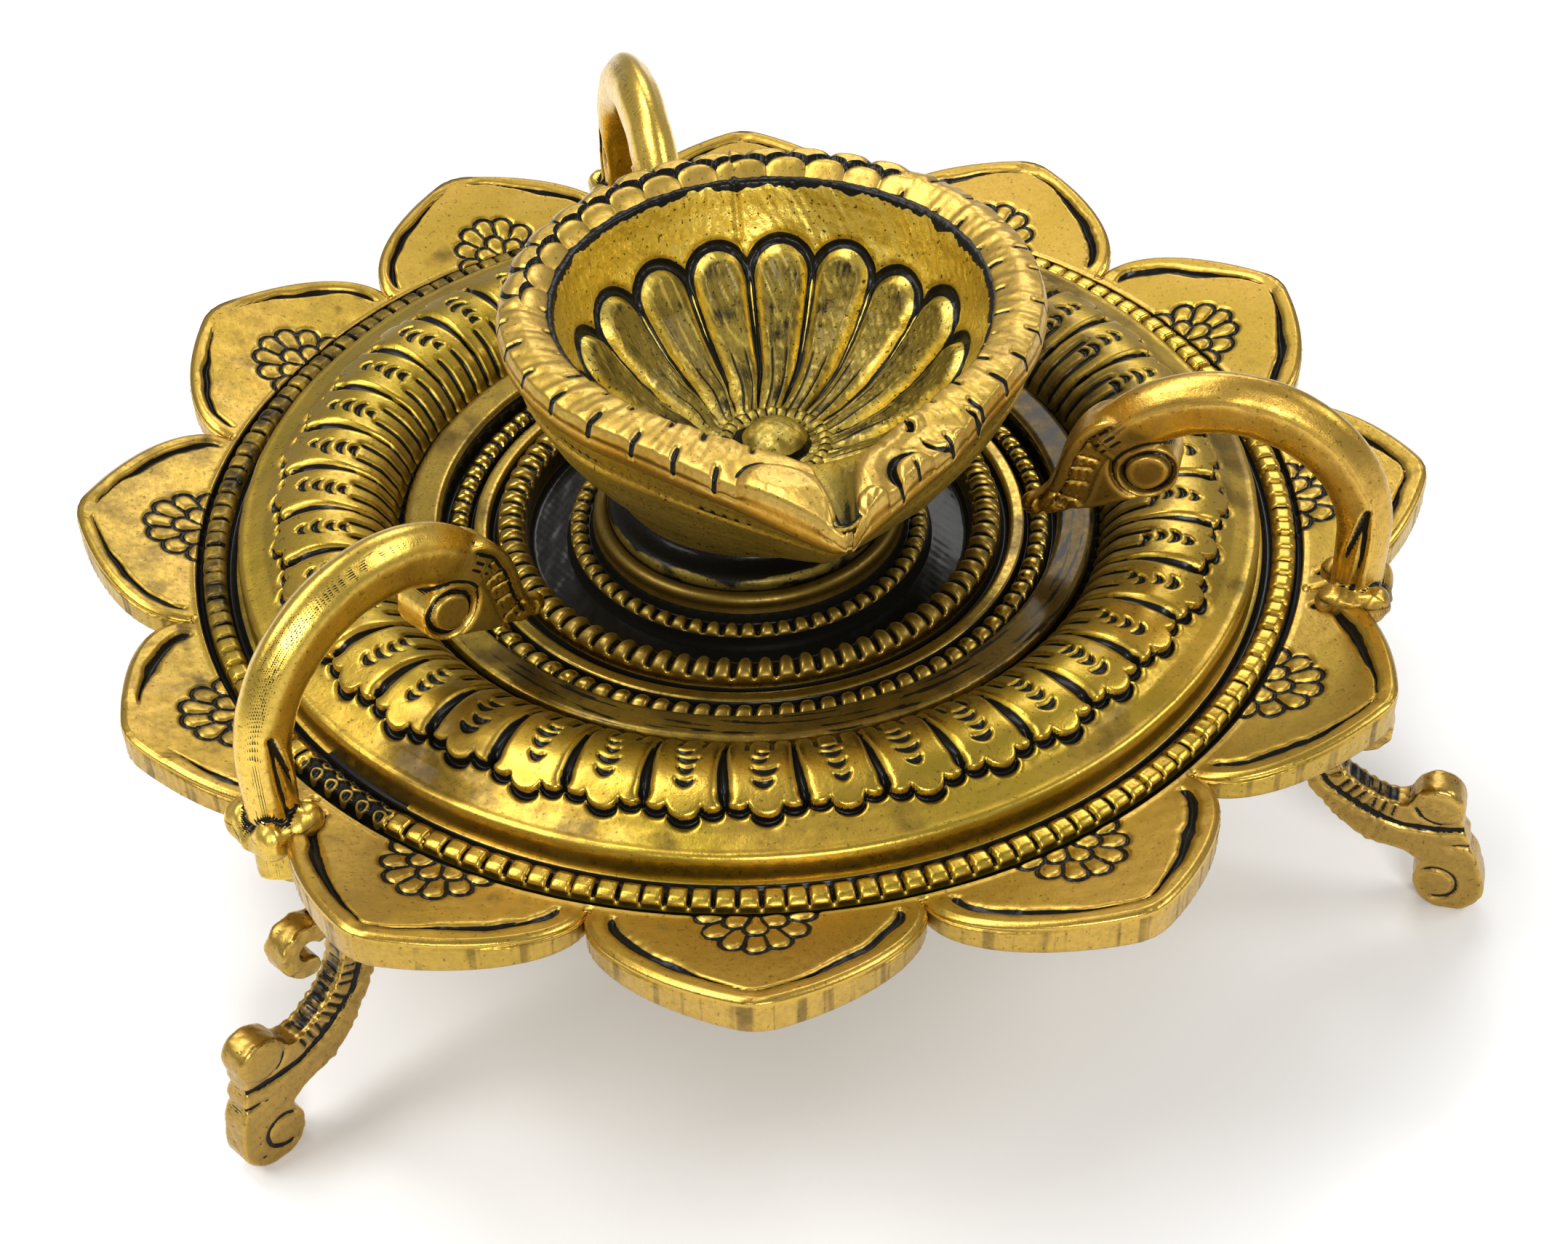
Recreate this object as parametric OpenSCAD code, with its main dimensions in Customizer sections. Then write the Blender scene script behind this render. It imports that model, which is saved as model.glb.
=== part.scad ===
// Diya oil lamp: a cast brass lotus plate on three scroll legs, with three
// swan-neck handles and a leaf-shaped oil bowl bolted to the middle.
// Millimetres. The origin is on the table under the plate's axis, +Z is up and
// the bowl's wick spout points to -Y. At each of three stations a handle's tang
// drops through a petal notch into the pad of a leg below the plate. One screw
// pulls pad and handle together, another holds the pad's inner end to the plate.

/* [Lotus plate] */
// Height of the plate's upper face, at the petal notches, above the table
plate_height = 52; // [48:0.5:58]
// Distance from the axis to the petal tips
tip_radius = 90.7; // [88:0.1:94]
// Distance from the axis to the notches between petals
notch_radius = 74; // [73.5:0.1:74.5]
// Thickness of the cast plate at the notches between petals
petal_thickness = 3.4; // [3:0.1:4]
// Thickness of the petals at their tips
tip_thickness = 5.2; // [4:0.1:6]
// How far the petal tips stand above the notches
petal_rise = 4.5; // [3:0.25:6]

/* [Oil bowl] */
// Radius of the outer edge of the bowl's rim
rim_radius = 34.8; // [32:0.2:36]
// Width of the flat ornamented rim
rim_width = 7.1; // [6:0.1:8]
// Height of the rim above the plate's upper face
rim_height = 34.2; // [32:0.2:37]
// Distance from the bowl's centre to the tip of the wick spout
spout_reach = 46.9; // [44:0.1:50]
// Turn of the spout away from -Y, seen from above
spout_turn = -5.7; // [-8:0.1:8]
// Sideways offset of the hand-set cup from the plate's axis
cup_offset_x = 4.2; // [-5:0.1:5]
// Front-to-back offset of the cup from the plate's axis
cup_offset_y = 1.2; // [-3:0.1:3]

/* [Swan-neck handles] */
// Radius of the neck's arch, at the middle of its section
arch_radius = 17.6; // [16.5:0.1:18.5]
// Width of the neck's section, seen from the front of the swan
neck_width = 6.2; // [5.4:0.1:7]
// Depth of the neck's section, in the plane of the arch
neck_depth = 7.4; // [6.6:0.1:8]

/* [Scroll legs] */
// Distance from the axis to the middle of the foot scrolls
foot_reach = 94; // [90:0.5:98]
// Thickness of the legs' scroll castings
leg_thickness = 4.2; // [3.6:0.1:5]
// Extra reach of the right leg's foot, and lack of reach of the left one's
leg_spread = 4.6; // [0:0.1:6]

/* [Fasteners] */
// Diameter of the centre bolt
bolt_diameter = 6; // [5:0.5:6]
// Diameter of the screws that hold the handles and legs
screw_diameter = 3; // [2.5:0.1:3.2]

/* [Hidden] */
$fn = 96;

petal_count = 12;
petal_pitch = 360 / petal_count;
// The stations where a handle and a leg meet: right, back and left.
right_station = -30;
back_station = 88.5;
left_station = 210;
stations = [right_station, back_station, left_station];

top = plate_height;
petal_slope = petal_rise / (tip_radius - notch_radius);
underside = top - petal_thickness;
under_slope = (petal_rise + petal_thickness - tip_thickness) / (tip_radius - notch_radius);

// Plate: mouldings, as radius and height above the upper face.
seat_height = 1;
floor_depth = 3.4;
hub_underside = 4.5;
bolt_clearance = 0.3;
dome_inner = 47.2;
dome_outer = 63.6;
dome_crest = 6.2;
dome_inner_height = 1.6;
dome_outer_height = 3.8;
dome_steps = 12;

// Bowl.
floor_height = 9.7;
boss_radius = 5;
boss_height = 2;
tip_width = 5;
cheek_radius = 10;
notch_width = 2.4;
foot_radius = 18.8;
foot_bead = 1.3;
neck_radius = 15.2;
bolt_depth = 6.4;
cup_at = [cup_offset_x, cup_offset_y, 0];
rim_top = top + rim_height;
hull_fn = 32;

// Handles: places in the plane of the arch, as distance out and height.
arch_at = [62.3, 10.2];
arch_end = 150;
neck_chamfer = 2;
head_thickness = 5.4;
stem_out = arch_at[0] + arch_radius;
tang_out = 77.6;
tang_length = 4.6;
tang_width = 5;
ear_out = 79.6;
ear_length = 8;
ear_width = 9.4;
ear_height = 3.9;
slot_clearance = 0.6;
lump_radius = 1.7;
lump_length = 5;
lump_spread = 4.1;
eye_at = [52.2, 17];
eye_radius = 2.9;
eye_stand = 0.7;
beak_at = [38, 7.9];
beak_radius = 1.5;
// The swan's head, from the crown round the beak and chin to the throat.
head_outline = [[44.6, 23.2], [42.4, 19.6], [41.2, 15], [39.8, 11.2], [37.2, 8.6],
                [38.6, 6.8], [41.2, 8.2], [45, 10.2], [48.6, 11], [50.4, 12.8],
                [53.2, 14.2], [55.2, 17], [54.4, 20.2], [51, 23]];

// Legs.
pad_in = 62;
pad_out = 80.9;
pad_width = 7.2;
pad_thickness = 3;
mortise_clearance = 0.05;
pad_bottom = underside - pad_thickness;
tang_bottom = pad_bottom + 0.6;
foot_radius_scroll = 4.9;
foot_flat = 0.35;
knob_at = [91.2, 17.2];
knob_radius = 4;
hook_at = [81.5, 31];
hook_radius = 4.2;
hook_bore = 1.6;
// The S-shaped blade of the leg: inner edge downwards, then outer edge upwards.
blade_outline = [[69.6, 48], [69.4, 38], [69.8, 32], [70.6, 27.4], [73.2, 21.2],
                 [77.6, 14.8], [82.6, 10.3], [84.2, 10.4], [89, 9.4], [94, 3],
                 [99, 6], [97.2, 13], [95.4, 17.6], [91, 21], [88.2, 20],
                 [86.2, 18.6], [83.4, 19.2], [79.8, 22], [77.6, 25.6], [77.2, 30],
                 [78.6, 33], [78.4, 36.5], [76.4, 40.2], [74.1, 42.6], [74.1, 48]];

// Screws, and the washer and bolt under the plate.
screw_head_radius = 3.2;
screw_head_height = 1.8;
screw_grip = 6;
screw_gap = 0.6;
leg_screw_out = 65.4;
leg_screw_grip = 4;
washer_radius = 8;
washer_thickness = 1.6;
bolt_head_width = 10;
bolt_head_height = 4;

// A point on a cubic Bezier curve.
function bezier(a, b, c, d, t) =
    pow(1 - t, 3) * a + 3 * t * pow(1 - t, 2) * b + 3 * t * t * (1 - t) * c + t * t * t * d;

function turned(p, angle) =
    [p[0] * cos(angle) - p[1] * sin(angle), p[0] * sin(angle) + p[1] * cos(angle)];

// One petal's flank, from the notch at +half a pitch to the ogee tip.
flank_steps = 9;
flank_start = notch_radius * [cos(petal_pitch / 2), sin(petal_pitch / 2)];
function flank(t) = bezier(flank_start, flank_start + [7.5, 2],
                           [tip_radius - 3, 10], [tip_radius, 0], t);
function petal_points(angle) = concat(
    [for (i = [0:flank_steps - 1]) let (p = flank(i / flank_steps)) turned([p[0], -p[1]], angle)],
    [for (i = [0:flank_steps - 1]) turned(flank(1 - i / flank_steps), angle)]);

// Places a part that is drawn in the XZ plane, X outwards, at a station.
module at_station(angle) {
    rotate([0, 0, angle]) children();
}

// Extrudes a shape drawn as distance out and height, centred on the plane.
module upright(thickness) {
    translate([0, thickness / 2, 0]) rotate([90, 0, 0]) linear_extrude(thickness) children();
}

// The space between z and the cone that the upper faces of the petals lie on.
module below_petals(bottom) {
    outer = tip_radius + 8;
    inner = 60;
    rotate_extrude() polygon([
        [inner, bottom], [outer, bottom],
        [outer, top + petal_slope * (outer - notch_radius)],
        [inner, top + petal_slope * (inner - notch_radius)]]);
}

// The space between z and the underside of the plate, at the legs.
module below_plate(bottom) {
    outer = tip_radius + 8;
    inner = 60;
    rotate_extrude() polygon([
        [inner, bottom], [outer, bottom],
        [outer, underside + under_slope * (outer - notch_radius)],
        [notch_radius, underside], [inner, underside]]);
}

// The ring of twelve petals, dished upwards to their tips.
module petal_ring() {
    petal_inner = notch_radius - 3;
    outer = tip_radius + 1;
    intersection() {
        translate([0, 0, underside - 5]) linear_extrude(petal_thickness + petal_rise + 10)
            union() {
                circle(petal_inner + 1);
                for (k = [0:petal_count - 1]) polygon(petal_points(k * petal_pitch - 75));
            }
        rotate_extrude() polygon([
            [petal_inner, underside],
            [notch_radius, underside],
            [outer, underside + under_slope * (outer - notch_radius)],
            [outer, top + petal_slope * (outer - notch_radius)],
            [notch_radius, top],
            [petal_inner, top]]);
    }
}

// The convex band of tongues, as part of a parabola through its two edges.
function dome_height(t) =
    dome_inner_height + (dome_outer_height - dome_inner_height) * t
    + 4 * (dome_crest - (dome_inner_height + dome_outer_height) / 2) * t * (1 - t);
dome_curve = [for (i = [0:dome_steps]) let (t = i / dome_steps)
    [dome_inner + (dome_outer - dome_inner) * t, top + dome_height(t)]];

// The turned middle of the plate: seat, well, ring mouldings and dome.
module plate_middle() {
    rotate_extrude() polygon(concat(
        [[bolt_diameter / 2 + bolt_clearance, top - hub_underside],
         [bolt_diameter / 2 + bolt_clearance, top + seat_height],
         [20, top + seat_height], [21, top - 0.4], [21.2, top - 1.9],
         [24, top - 1.9], [24.4, top - floor_depth], [29, top - floor_depth],
         [29.6, top - 0.8], [33.6, top - 0.8], [34.2, top - 2],
         [34.8, top - 0.9], [36.6, top - 0.7], [37.1, top - 1.9],
         [40.3, top - 1.8], [41.2, top + 1.2], [45.4, top + 1.4], [46.2, top - 0.6]],
        dome_curve,
        [[64, top + 3.7], [66.6, top + 2.9], [67.2, top + 2.2], [67.4, top - 0.9],
         [69, top - 0.9], [69.4, top + 0.4], [71.8, top + 0.4], [72.1, top - 0.8],
         [72.8, top - 0.8], [73.2, top], [73.6, top], [73.6, underside], [61.6, underside],
         [58, underside + 3.2], [54, underside + 4.8], [49, underside + 3],
         [45, underside - 1], [40, top - 6], [30, top - 7.2], [20, top - 7],
         [14, top - hub_underside]]));
}

// A half-round ring moulding.
module ring_moulding(radius, height, minor) {
    rotate_extrude() translate([radius, top + height]) circle(minor);
}

module lotus_plate() color([0.72, 0.56, 0.22]) difference() {
    union() {
        petal_ring();
        plate_middle();
        ring_moulding(19.5, 0.9, 1.1);
        ring_moulding(22.7, -1.9, 1.2);
        ring_moulding(31.6, -0.9, 1.9);
        ring_moulding(38.7, -1.6, 1.4);
    }
    for (angle = stations) at_station(angle) {
        translate([tang_out - tang_length / 2 - slot_clearance, -tang_width / 2 - mortise_clearance,
                   underside - 5])
            cube([tang_length + 8, tang_width + 2 * mortise_clearance, petal_thickness + 10]);
        translate([leg_screw_out, 0, underside - 1])
            cylinder(h = 1 + leg_screw_grip + screw_gap, d = screw_diameter);
    }
}

// The cup's outer skin, from its foot up to the rim, as radius and height.
cup_profile = [[0, 5], [17, 5.6], [21.4, 9], [26, 13.4], [30, 19], [33, 25],
               [rim_radius, rim_height - 3.2], [rim_radius, rim_height - 1],
               [rim_radius - 1.2, rim_height], [0, rim_height]];

// The cup with its prow, drawn out to the spout.
module cup_body() {
    translate(cup_at) rotate([0, 0, spout_turn]) hull() {
        rotate_extrude($fn = 2 * hull_fn) translate([0, top]) polygon(cup_profile);
        translate([0, tip_width / 2 - spout_reach, rim_top - 5.4])
            cylinder(h = 4, r = tip_width / 2, $fn = hull_fn);
        translate([8.7, 7 - rim_radius, rim_top - 4]) cylinder(h = 3, r = cheek_radius, $fn = hull_fn);
        translate([-8.3, 7.9 - rim_radius, rim_top - 4]) cylinder(h = 3, r = cheek_radius, $fn = hull_fn);
        translate([0, 6 - rim_radius, top + 14]) cylinder(h = 2, r = 5, $fn = hull_fn);
    }
}

// The oil well and the channel that carries the wick to the tip.
module cup_hollow() {
    mouth = rim_radius - rim_width;
    above = 2;
    translate(cup_at) rotate([0, 0, spout_turn]) {
        rotate_extrude() translate([0, top]) polygon([
            [0, floor_height], [9.5, floor_height + 0.4], [16, floor_height + 3.6],
            [21.4, floor_height + 8.4], [25, floor_height + 14], [mouth - 0.4, floor_height + 20],
            [mouth, rim_height - 1], [mouth, rim_height + above], [0, rim_height + above]]);
        hull() {
            translate([0, 0, rim_top - 3.6]) cylinder(h = 3.6 + above, r = mouth - 0.2, $fn = 2 * hull_fn);
            translate([0, 0, rim_top - 8]) cylinder(h = 4, r = mouth - 7, $fn = hull_fn);
            translate([0, 2.2 - spout_reach, rim_top - 3.6])
                cylinder(h = 3.6 + above, r = notch_width / 2, $fn = hull_fn);
        }
    }
}

// The domed boss in the floor of the cup.
module cup_boss() {
    translate(cup_at) rotate_extrude() translate([0, top + floor_height - 0.5]) intersection() {
        scale([1, 0.5]) circle(boss_radius);
        square([boss_radius, boss_height + 0.5]);
    }
}

// The foot: a beaded flange that seats on the plate, and a short neck.
module bowl_foot() {
    seat = top + seat_height;
    rotate_extrude() polygon([[0, seat], [17.3, seat], [17.3, seat + 2.4],
                              [neck_radius, seat + 3.4], [neck_radius - 0.6, seat + 5],
                              [neck_radius + 1.4, seat + 8], [0, seat + 8]]);
    rotate_extrude() translate([foot_radius - foot_bead, seat + foot_bead]) circle(foot_bead);
}

module diya_bowl() color([0.78, 0.62, 0.25]) difference() {
    union() {
        difference() {
            union() {
                cup_body();
                bowl_foot();
            }
            cup_hollow();
        }
        cup_boss();
    }
    translate([0, 0, top]) cylinder(h = seat_height + bolt_depth, r = bolt_diameter / 2);
}

module centre_bolt() color([0.6, 0.48, 0.2]) {
    under_head = top - hub_underside - washer_thickness;
    translate([0, 0, under_head])
        cylinder(h = hub_underside + washer_thickness + seat_height + bolt_depth - 1, r = bolt_diameter / 2);
    translate([0, 0, under_head - bolt_head_height])
        cylinder(h = bolt_head_height, d = bolt_head_width / cos(30), $fn = 6);
}

module bolt_washer() color([0.66, 0.52, 0.22])
    translate([0, 0, top - hub_underside - washer_thickness]) difference() {
        cylinder(h = washer_thickness, r = washer_radius);
        translate([0, 0, -1]) cylinder(h = washer_thickness + 2, r = bolt_diameter / 2 + bolt_clearance);
    }

// The neck's section: a rectangle with chamfered corners.
module neck_section() {
    x = neck_depth / 2;
    y = neck_width / 2;
    c = neck_chamfer;
    polygon([[x - c, -y], [x, c - y], [x, y - c], [x - c, y],
             [c - x, y], [-x, y - c], [-x, c - y], [c - x, -y]]);
}

// The arch of the neck and the stem that it stands on.
module swan_neck() {
    translate([arch_at[0], 0, top + arch_at[1]]) rotate([90, 0, 0])
        rotate_extrude(angle = arch_end) translate([arch_radius, 0]) neck_section();
    translate([stem_out, 0, top + 2.4]) linear_extrude(arch_at[1] - 2.4) neck_section();
}

// The swan's head with its round eyes and the ball at the tip of its beak.
module swan_head() {
    translate([0, 0, top]) {
        upright(head_thickness) polygon(head_outline);
        upright(head_thickness + 2 * eye_stand) translate(eye_at) circle(eye_radius);
        translate([beak_at[0], 0, beak_at[1]]) sphere(beak_radius);
    }
}

// The base: ears that clamp the two petals, and the tang down through the notch.
module handle_base() {
    difference() {
        translate([ear_out - ear_length / 2, -ear_width / 2, top])
            cube([ear_length, ear_width, ear_height]);
        below_petals(top - 5);
    }
    for (side = [-1, 1]) translate([ear_out - lump_length / 2, side * lump_spread, top + ear_height - 1])
        rotate([0, 90, 0]) cylinder(h = lump_length, r = lump_radius);
    translate([tang_out - tang_length / 2, -tang_width / 2, tang_bottom])
        cube([tang_length, tang_width, top + 2 - tang_bottom]);
}

module handle(angle) color([0.74, 0.55, 0.2]) at_station(angle) difference() {
    union() {
        swan_neck();
        swan_head();
        handle_base();
    }
    translate([tang_out, 0, tang_bottom - 1])
        cylinder(h = 1 + screw_grip + screw_gap, d = screw_diameter);
}

// Shifts a point of the leg outwards in proportion to its drop below the plate.
function leaned(p, lean) = [p[0] + lean * (top - p[1]) / top, p[1]];

// The blade is drawn for a plate at this height, and follows the real one.
drawn_height = 52;
function leg_point(p, lean) =
    leaned([p[0] + (foot_reach - 94) * (drawn_height - p[1]) / drawn_height,
            p[1] * top / drawn_height], lean);

// The hook scroll that curls out under the petal.
module hook_scroll(lean) {
    at = leg_point(hook_at, lean);
    difference() {
        translate(at) circle(hook_radius);
        translate(at) circle(hook_bore);
        translate([at[0] - 1.2, at[1] - 2 * hook_radius]) square([3.4, 2 * hook_radius]);
        translate([at[0] - 2 * hook_radius, at[1] - 2 * hook_radius])
            square([2 * hook_radius, 2 * hook_radius]);
    }
}

module leg(angle, lean) color([0.7, 0.54, 0.22]) at_station(angle) difference() {
    union() {
        intersection() {
            upright(leg_thickness) union() {
                polygon([for (p = blade_outline) leg_point(p, lean)]);
                translate(leg_point(knob_at, lean)) circle(knob_radius);
                translate([leg_point([94, 0], lean)[0], foot_radius_scroll - foot_flat])
                    circle(foot_radius_scroll);
                hook_scroll(lean);
            }
            translate([0, -10, 0]) cube([200, 20, pad_bottom + 1]);
        }
        intersection() {
            translate([pad_in, -pad_width / 2, pad_bottom])
                cube([pad_out - pad_in, pad_width, pad_thickness + 5]);
            below_plate(0);
        }
    }
    translate([tang_out - tang_length / 2 - mortise_clearance, -tang_width / 2 - mortise_clearance,
               pad_bottom - 1])
        cube([tang_length + 2 * mortise_clearance, tang_width + 2 * mortise_clearance, pad_thickness + 9]);
    translate([leg_screw_out, 0, pad_bottom - 1])
        cylinder(h = pad_thickness + 2, d = screw_diameter);
}

// A cheese-head screw driven upwards into the handle or the plate.
module screw(angle, out, length) color([0.62, 0.48, 0.2]) at_station(angle)
    translate([out, 0, pad_bottom - screw_head_height]) {
        cylinder(h = screw_head_height + length, d = screw_diameter);
        cylinder(h = screw_head_height, r = screw_head_radius);
    }

module handle_screw(angle) screw(angle, tang_out, tang_bottom - pad_bottom + screw_grip);

module leg_screw(angle) screw(angle, leg_screw_out, pad_thickness + leg_screw_grip);

lotus_plate();
diya_bowl();
centre_bolt();
bolt_washer();
handle(right_station);  // handle_right
handle(back_station);  // handle_back
handle(left_station);  // handle_left
leg(right_station, leg_spread);  // leg_right
leg(back_station, 0);  // leg_back
leg(left_station, -leg_spread);  // leg_left
handle_screw(right_station);  // handle_screw_right
handle_screw(back_station);  // handle_screw_back
handle_screw(left_station);  // handle_screw_left
leg_screw(right_station);  // leg_screw_right
leg_screw(back_station);  // leg_screw_back
leg_screw(left_station);  // leg_screw_left
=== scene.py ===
from functools import reduce
import bpy
import numpy as np
from numpy import (arange, clip, concatenate, cos, cumsum, degrees, hypot, interp, linspace,
                   maximum, minimum, radians, sin, sqrt, stack, zeros)
from mathutils import Matrix, Vector


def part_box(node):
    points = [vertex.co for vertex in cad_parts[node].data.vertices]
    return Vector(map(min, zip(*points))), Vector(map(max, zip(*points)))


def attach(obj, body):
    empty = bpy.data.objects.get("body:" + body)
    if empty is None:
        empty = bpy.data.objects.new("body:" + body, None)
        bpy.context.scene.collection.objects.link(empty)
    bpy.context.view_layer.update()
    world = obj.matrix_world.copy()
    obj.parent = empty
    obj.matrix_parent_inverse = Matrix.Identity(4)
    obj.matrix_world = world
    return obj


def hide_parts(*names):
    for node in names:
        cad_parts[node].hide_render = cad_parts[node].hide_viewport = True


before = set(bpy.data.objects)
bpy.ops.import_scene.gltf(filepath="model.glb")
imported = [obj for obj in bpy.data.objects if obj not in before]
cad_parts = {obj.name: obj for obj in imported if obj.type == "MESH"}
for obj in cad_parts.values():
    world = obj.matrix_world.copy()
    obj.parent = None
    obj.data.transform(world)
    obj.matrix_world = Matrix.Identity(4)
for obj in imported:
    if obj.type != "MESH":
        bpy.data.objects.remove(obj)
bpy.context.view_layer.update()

# Lengths are in millimetres until a mesh is made. Heights called z are above
# TOP, the plate's upper face at the petal notches, unless they say otherwise.
MM = 0.001
RIM_HEIGHT = 34.2
RIM_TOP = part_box("diya_bowl")[1][2] / MM
TOP = RIM_TOP - RIM_HEIGHT
STATIONS = {"right": -30.0, "back": 88.5, "left": 210.0}
TAU = 2 * np.pi
draws = np.random.default_rng


# ---------------------------------------------------------------- mathematics
def ease(a, b, x):
    t = clip((x - a) / (b - a), 0, 1)
    return t * t * (3 - 2 * t)


def window(x, a, b, soft):
    """1 between a and b, falling to 0 over soft on both sides."""
    return ease(a - soft, a, x) * (1 - ease(b, b + soft, x))


def ridge(d, w):
    return np.exp(-(d / w) ** 2)


def swell(x):
    """A half-round, 1 at x 0 and gone at x 1."""
    return sqrt(clip(1 - x ** 2, 0, 1))


def most(*marks):
    return reduce(maximum, marks)


def polar(r, a):
    return r * cos(a), r * sin(a)


def turned(x, y, degrees_round):
    """A plan view turned round the lamp's axis."""
    c, s = polar(1, radians(degrees_round))
    return x * c - y * s, x * s + y * c


def wobble(x, y, scale, seed, octaves=3):
    """Smooth seeded noise between about -1 and 1, from a few crossing waves."""
    r = draws(seed)
    out = zeros(np.broadcast(x, y).shape)
    for k in range(octaves):
        for _ in range(4):
            a, p = r.uniform(0, TAU, 2)
            f = TAU / scale * 1.9 ** k * r.uniform(0.7, 1.3)
            out += sin(f * (cos(a) * x + sin(a) * y) + p) * 0.6 ** k / 3
    return out


def mean_over(h, k, axis, mode):
    """The mean of each value and its k neighbours on either side along an axis."""
    pad = [(0, 0)] * h.ndim
    pad[axis] = (k, k)
    c = cumsum(np.pad(h, pad, mode=mode), axis=axis)
    c = concatenate([np.zeros_like(c.take([0], axis)), c], axis)
    low = arange(h.shape[axis])
    return (c.take(low + 2 * k + 1, axis) - c.take(low, axis)) / (2 * k + 1)


def cavity(h, rows, columns):
    """How far a grid, whose columns close into a ring, lies below its surroundings."""
    return mean_over(mean_over(h, rows, 0, "edge"), columns, 1, "wrap") - h


def along(points, step):
    """The polyline's points at even steps, with its corners eased."""
    p = np.array(points, float)
    d = np.r_[0, cumsum(hypot(*np.diff(p, axis=0).T))]
    s = linspace(0, d[-1], max(2, int(d[-1] / step)) + 1)
    q = stack([interp(s, d, p[:, 0]), interp(s, d, p[:, 1])], 1)
    for _ in range(2):
        q[1:-1] = (q[:-2] + 2 * q[1:-1] + q[2:]) / 4
    return q


def arc(r, z, radius, start, end, n=14):
    a = radians(linspace(start, end, n))
    return list(zip(r + radius * cos(a), z + radius * sin(a)))


# --------------------------------------------------------------------- meshes
def add_piece(name, verts, quads, marks, material, nodes):
    """A closed mesh in the row frame, with its surface marks as attributes."""
    v = verts[quads]
    volume = np.einsum("ij,ij->i", v[:, 0], np.cross(v[:, 1], v[:, 2])).sum()
    volume += np.einsum("ij,ij->i", v[:, 0], np.cross(v[:, 2], v[:, 3])).sum()
    if volume < 0:
        quads = quads[:, ::-1]
    me = bpy.data.meshes.new(name)
    me.vertices.add(len(verts))
    me.vertices.foreach_set("co", (verts * MM).astype(np.float32).ravel())
    me.loops.add(quads.size)
    me.loops.foreach_set("vertex_index", quads.astype(np.int32).ravel())
    me.polygons.add(len(quads))
    me.polygons.foreach_set("loop_start", arange(0, quads.size, 4, dtype=np.int32))
    me.polygons.foreach_set("use_smooth", np.ones(len(quads), bool))
    me.update(calc_edges=True)
    for key, values in zip(("patina_and_shade", "wear_and_sheen", "tone_and_shade"), marks):
        a = me.attributes.new(key, "FLOAT", "POINT")
        a.data.foreach_set("value", clip(values, 0, 1).astype(np.float32).ravel())
    me.materials.append(material)
    ob = bpy.data.objects.new(name, me)
    bpy.context.scene.collection.objects.link(ob)
    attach(ob, "root")
    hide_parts(*nodes)


def add_grid(name, points, marks, material, nodes):
    """A grid of points that closes both ways, like the skin of a ring."""
    rows, columns = points.shape[:2]
    a = arange(rows * columns).reshape(rows, columns)
    b, d = np.roll(a, -1, 1), np.roll(a, -1, 0)
    quads = stack([a, b, np.roll(d, -1, 1), d], -1).reshape(-1, 4)
    add_piece(name, points.reshape(-1, 3), quads, marks, material, nodes)


# ------------------------------------------------------------------ materials
# The soot colour darkens the browned skin and the patina colour is the black of the cuts; both also colour
# painted shade.
SOOT_AND_SHADE, PIT, PATINA_AND_SHADE = (0.026, 0.016, 0.004), (0.02, 0.014, 0.006), (0.006, 0.0055, 0.004)


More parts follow.
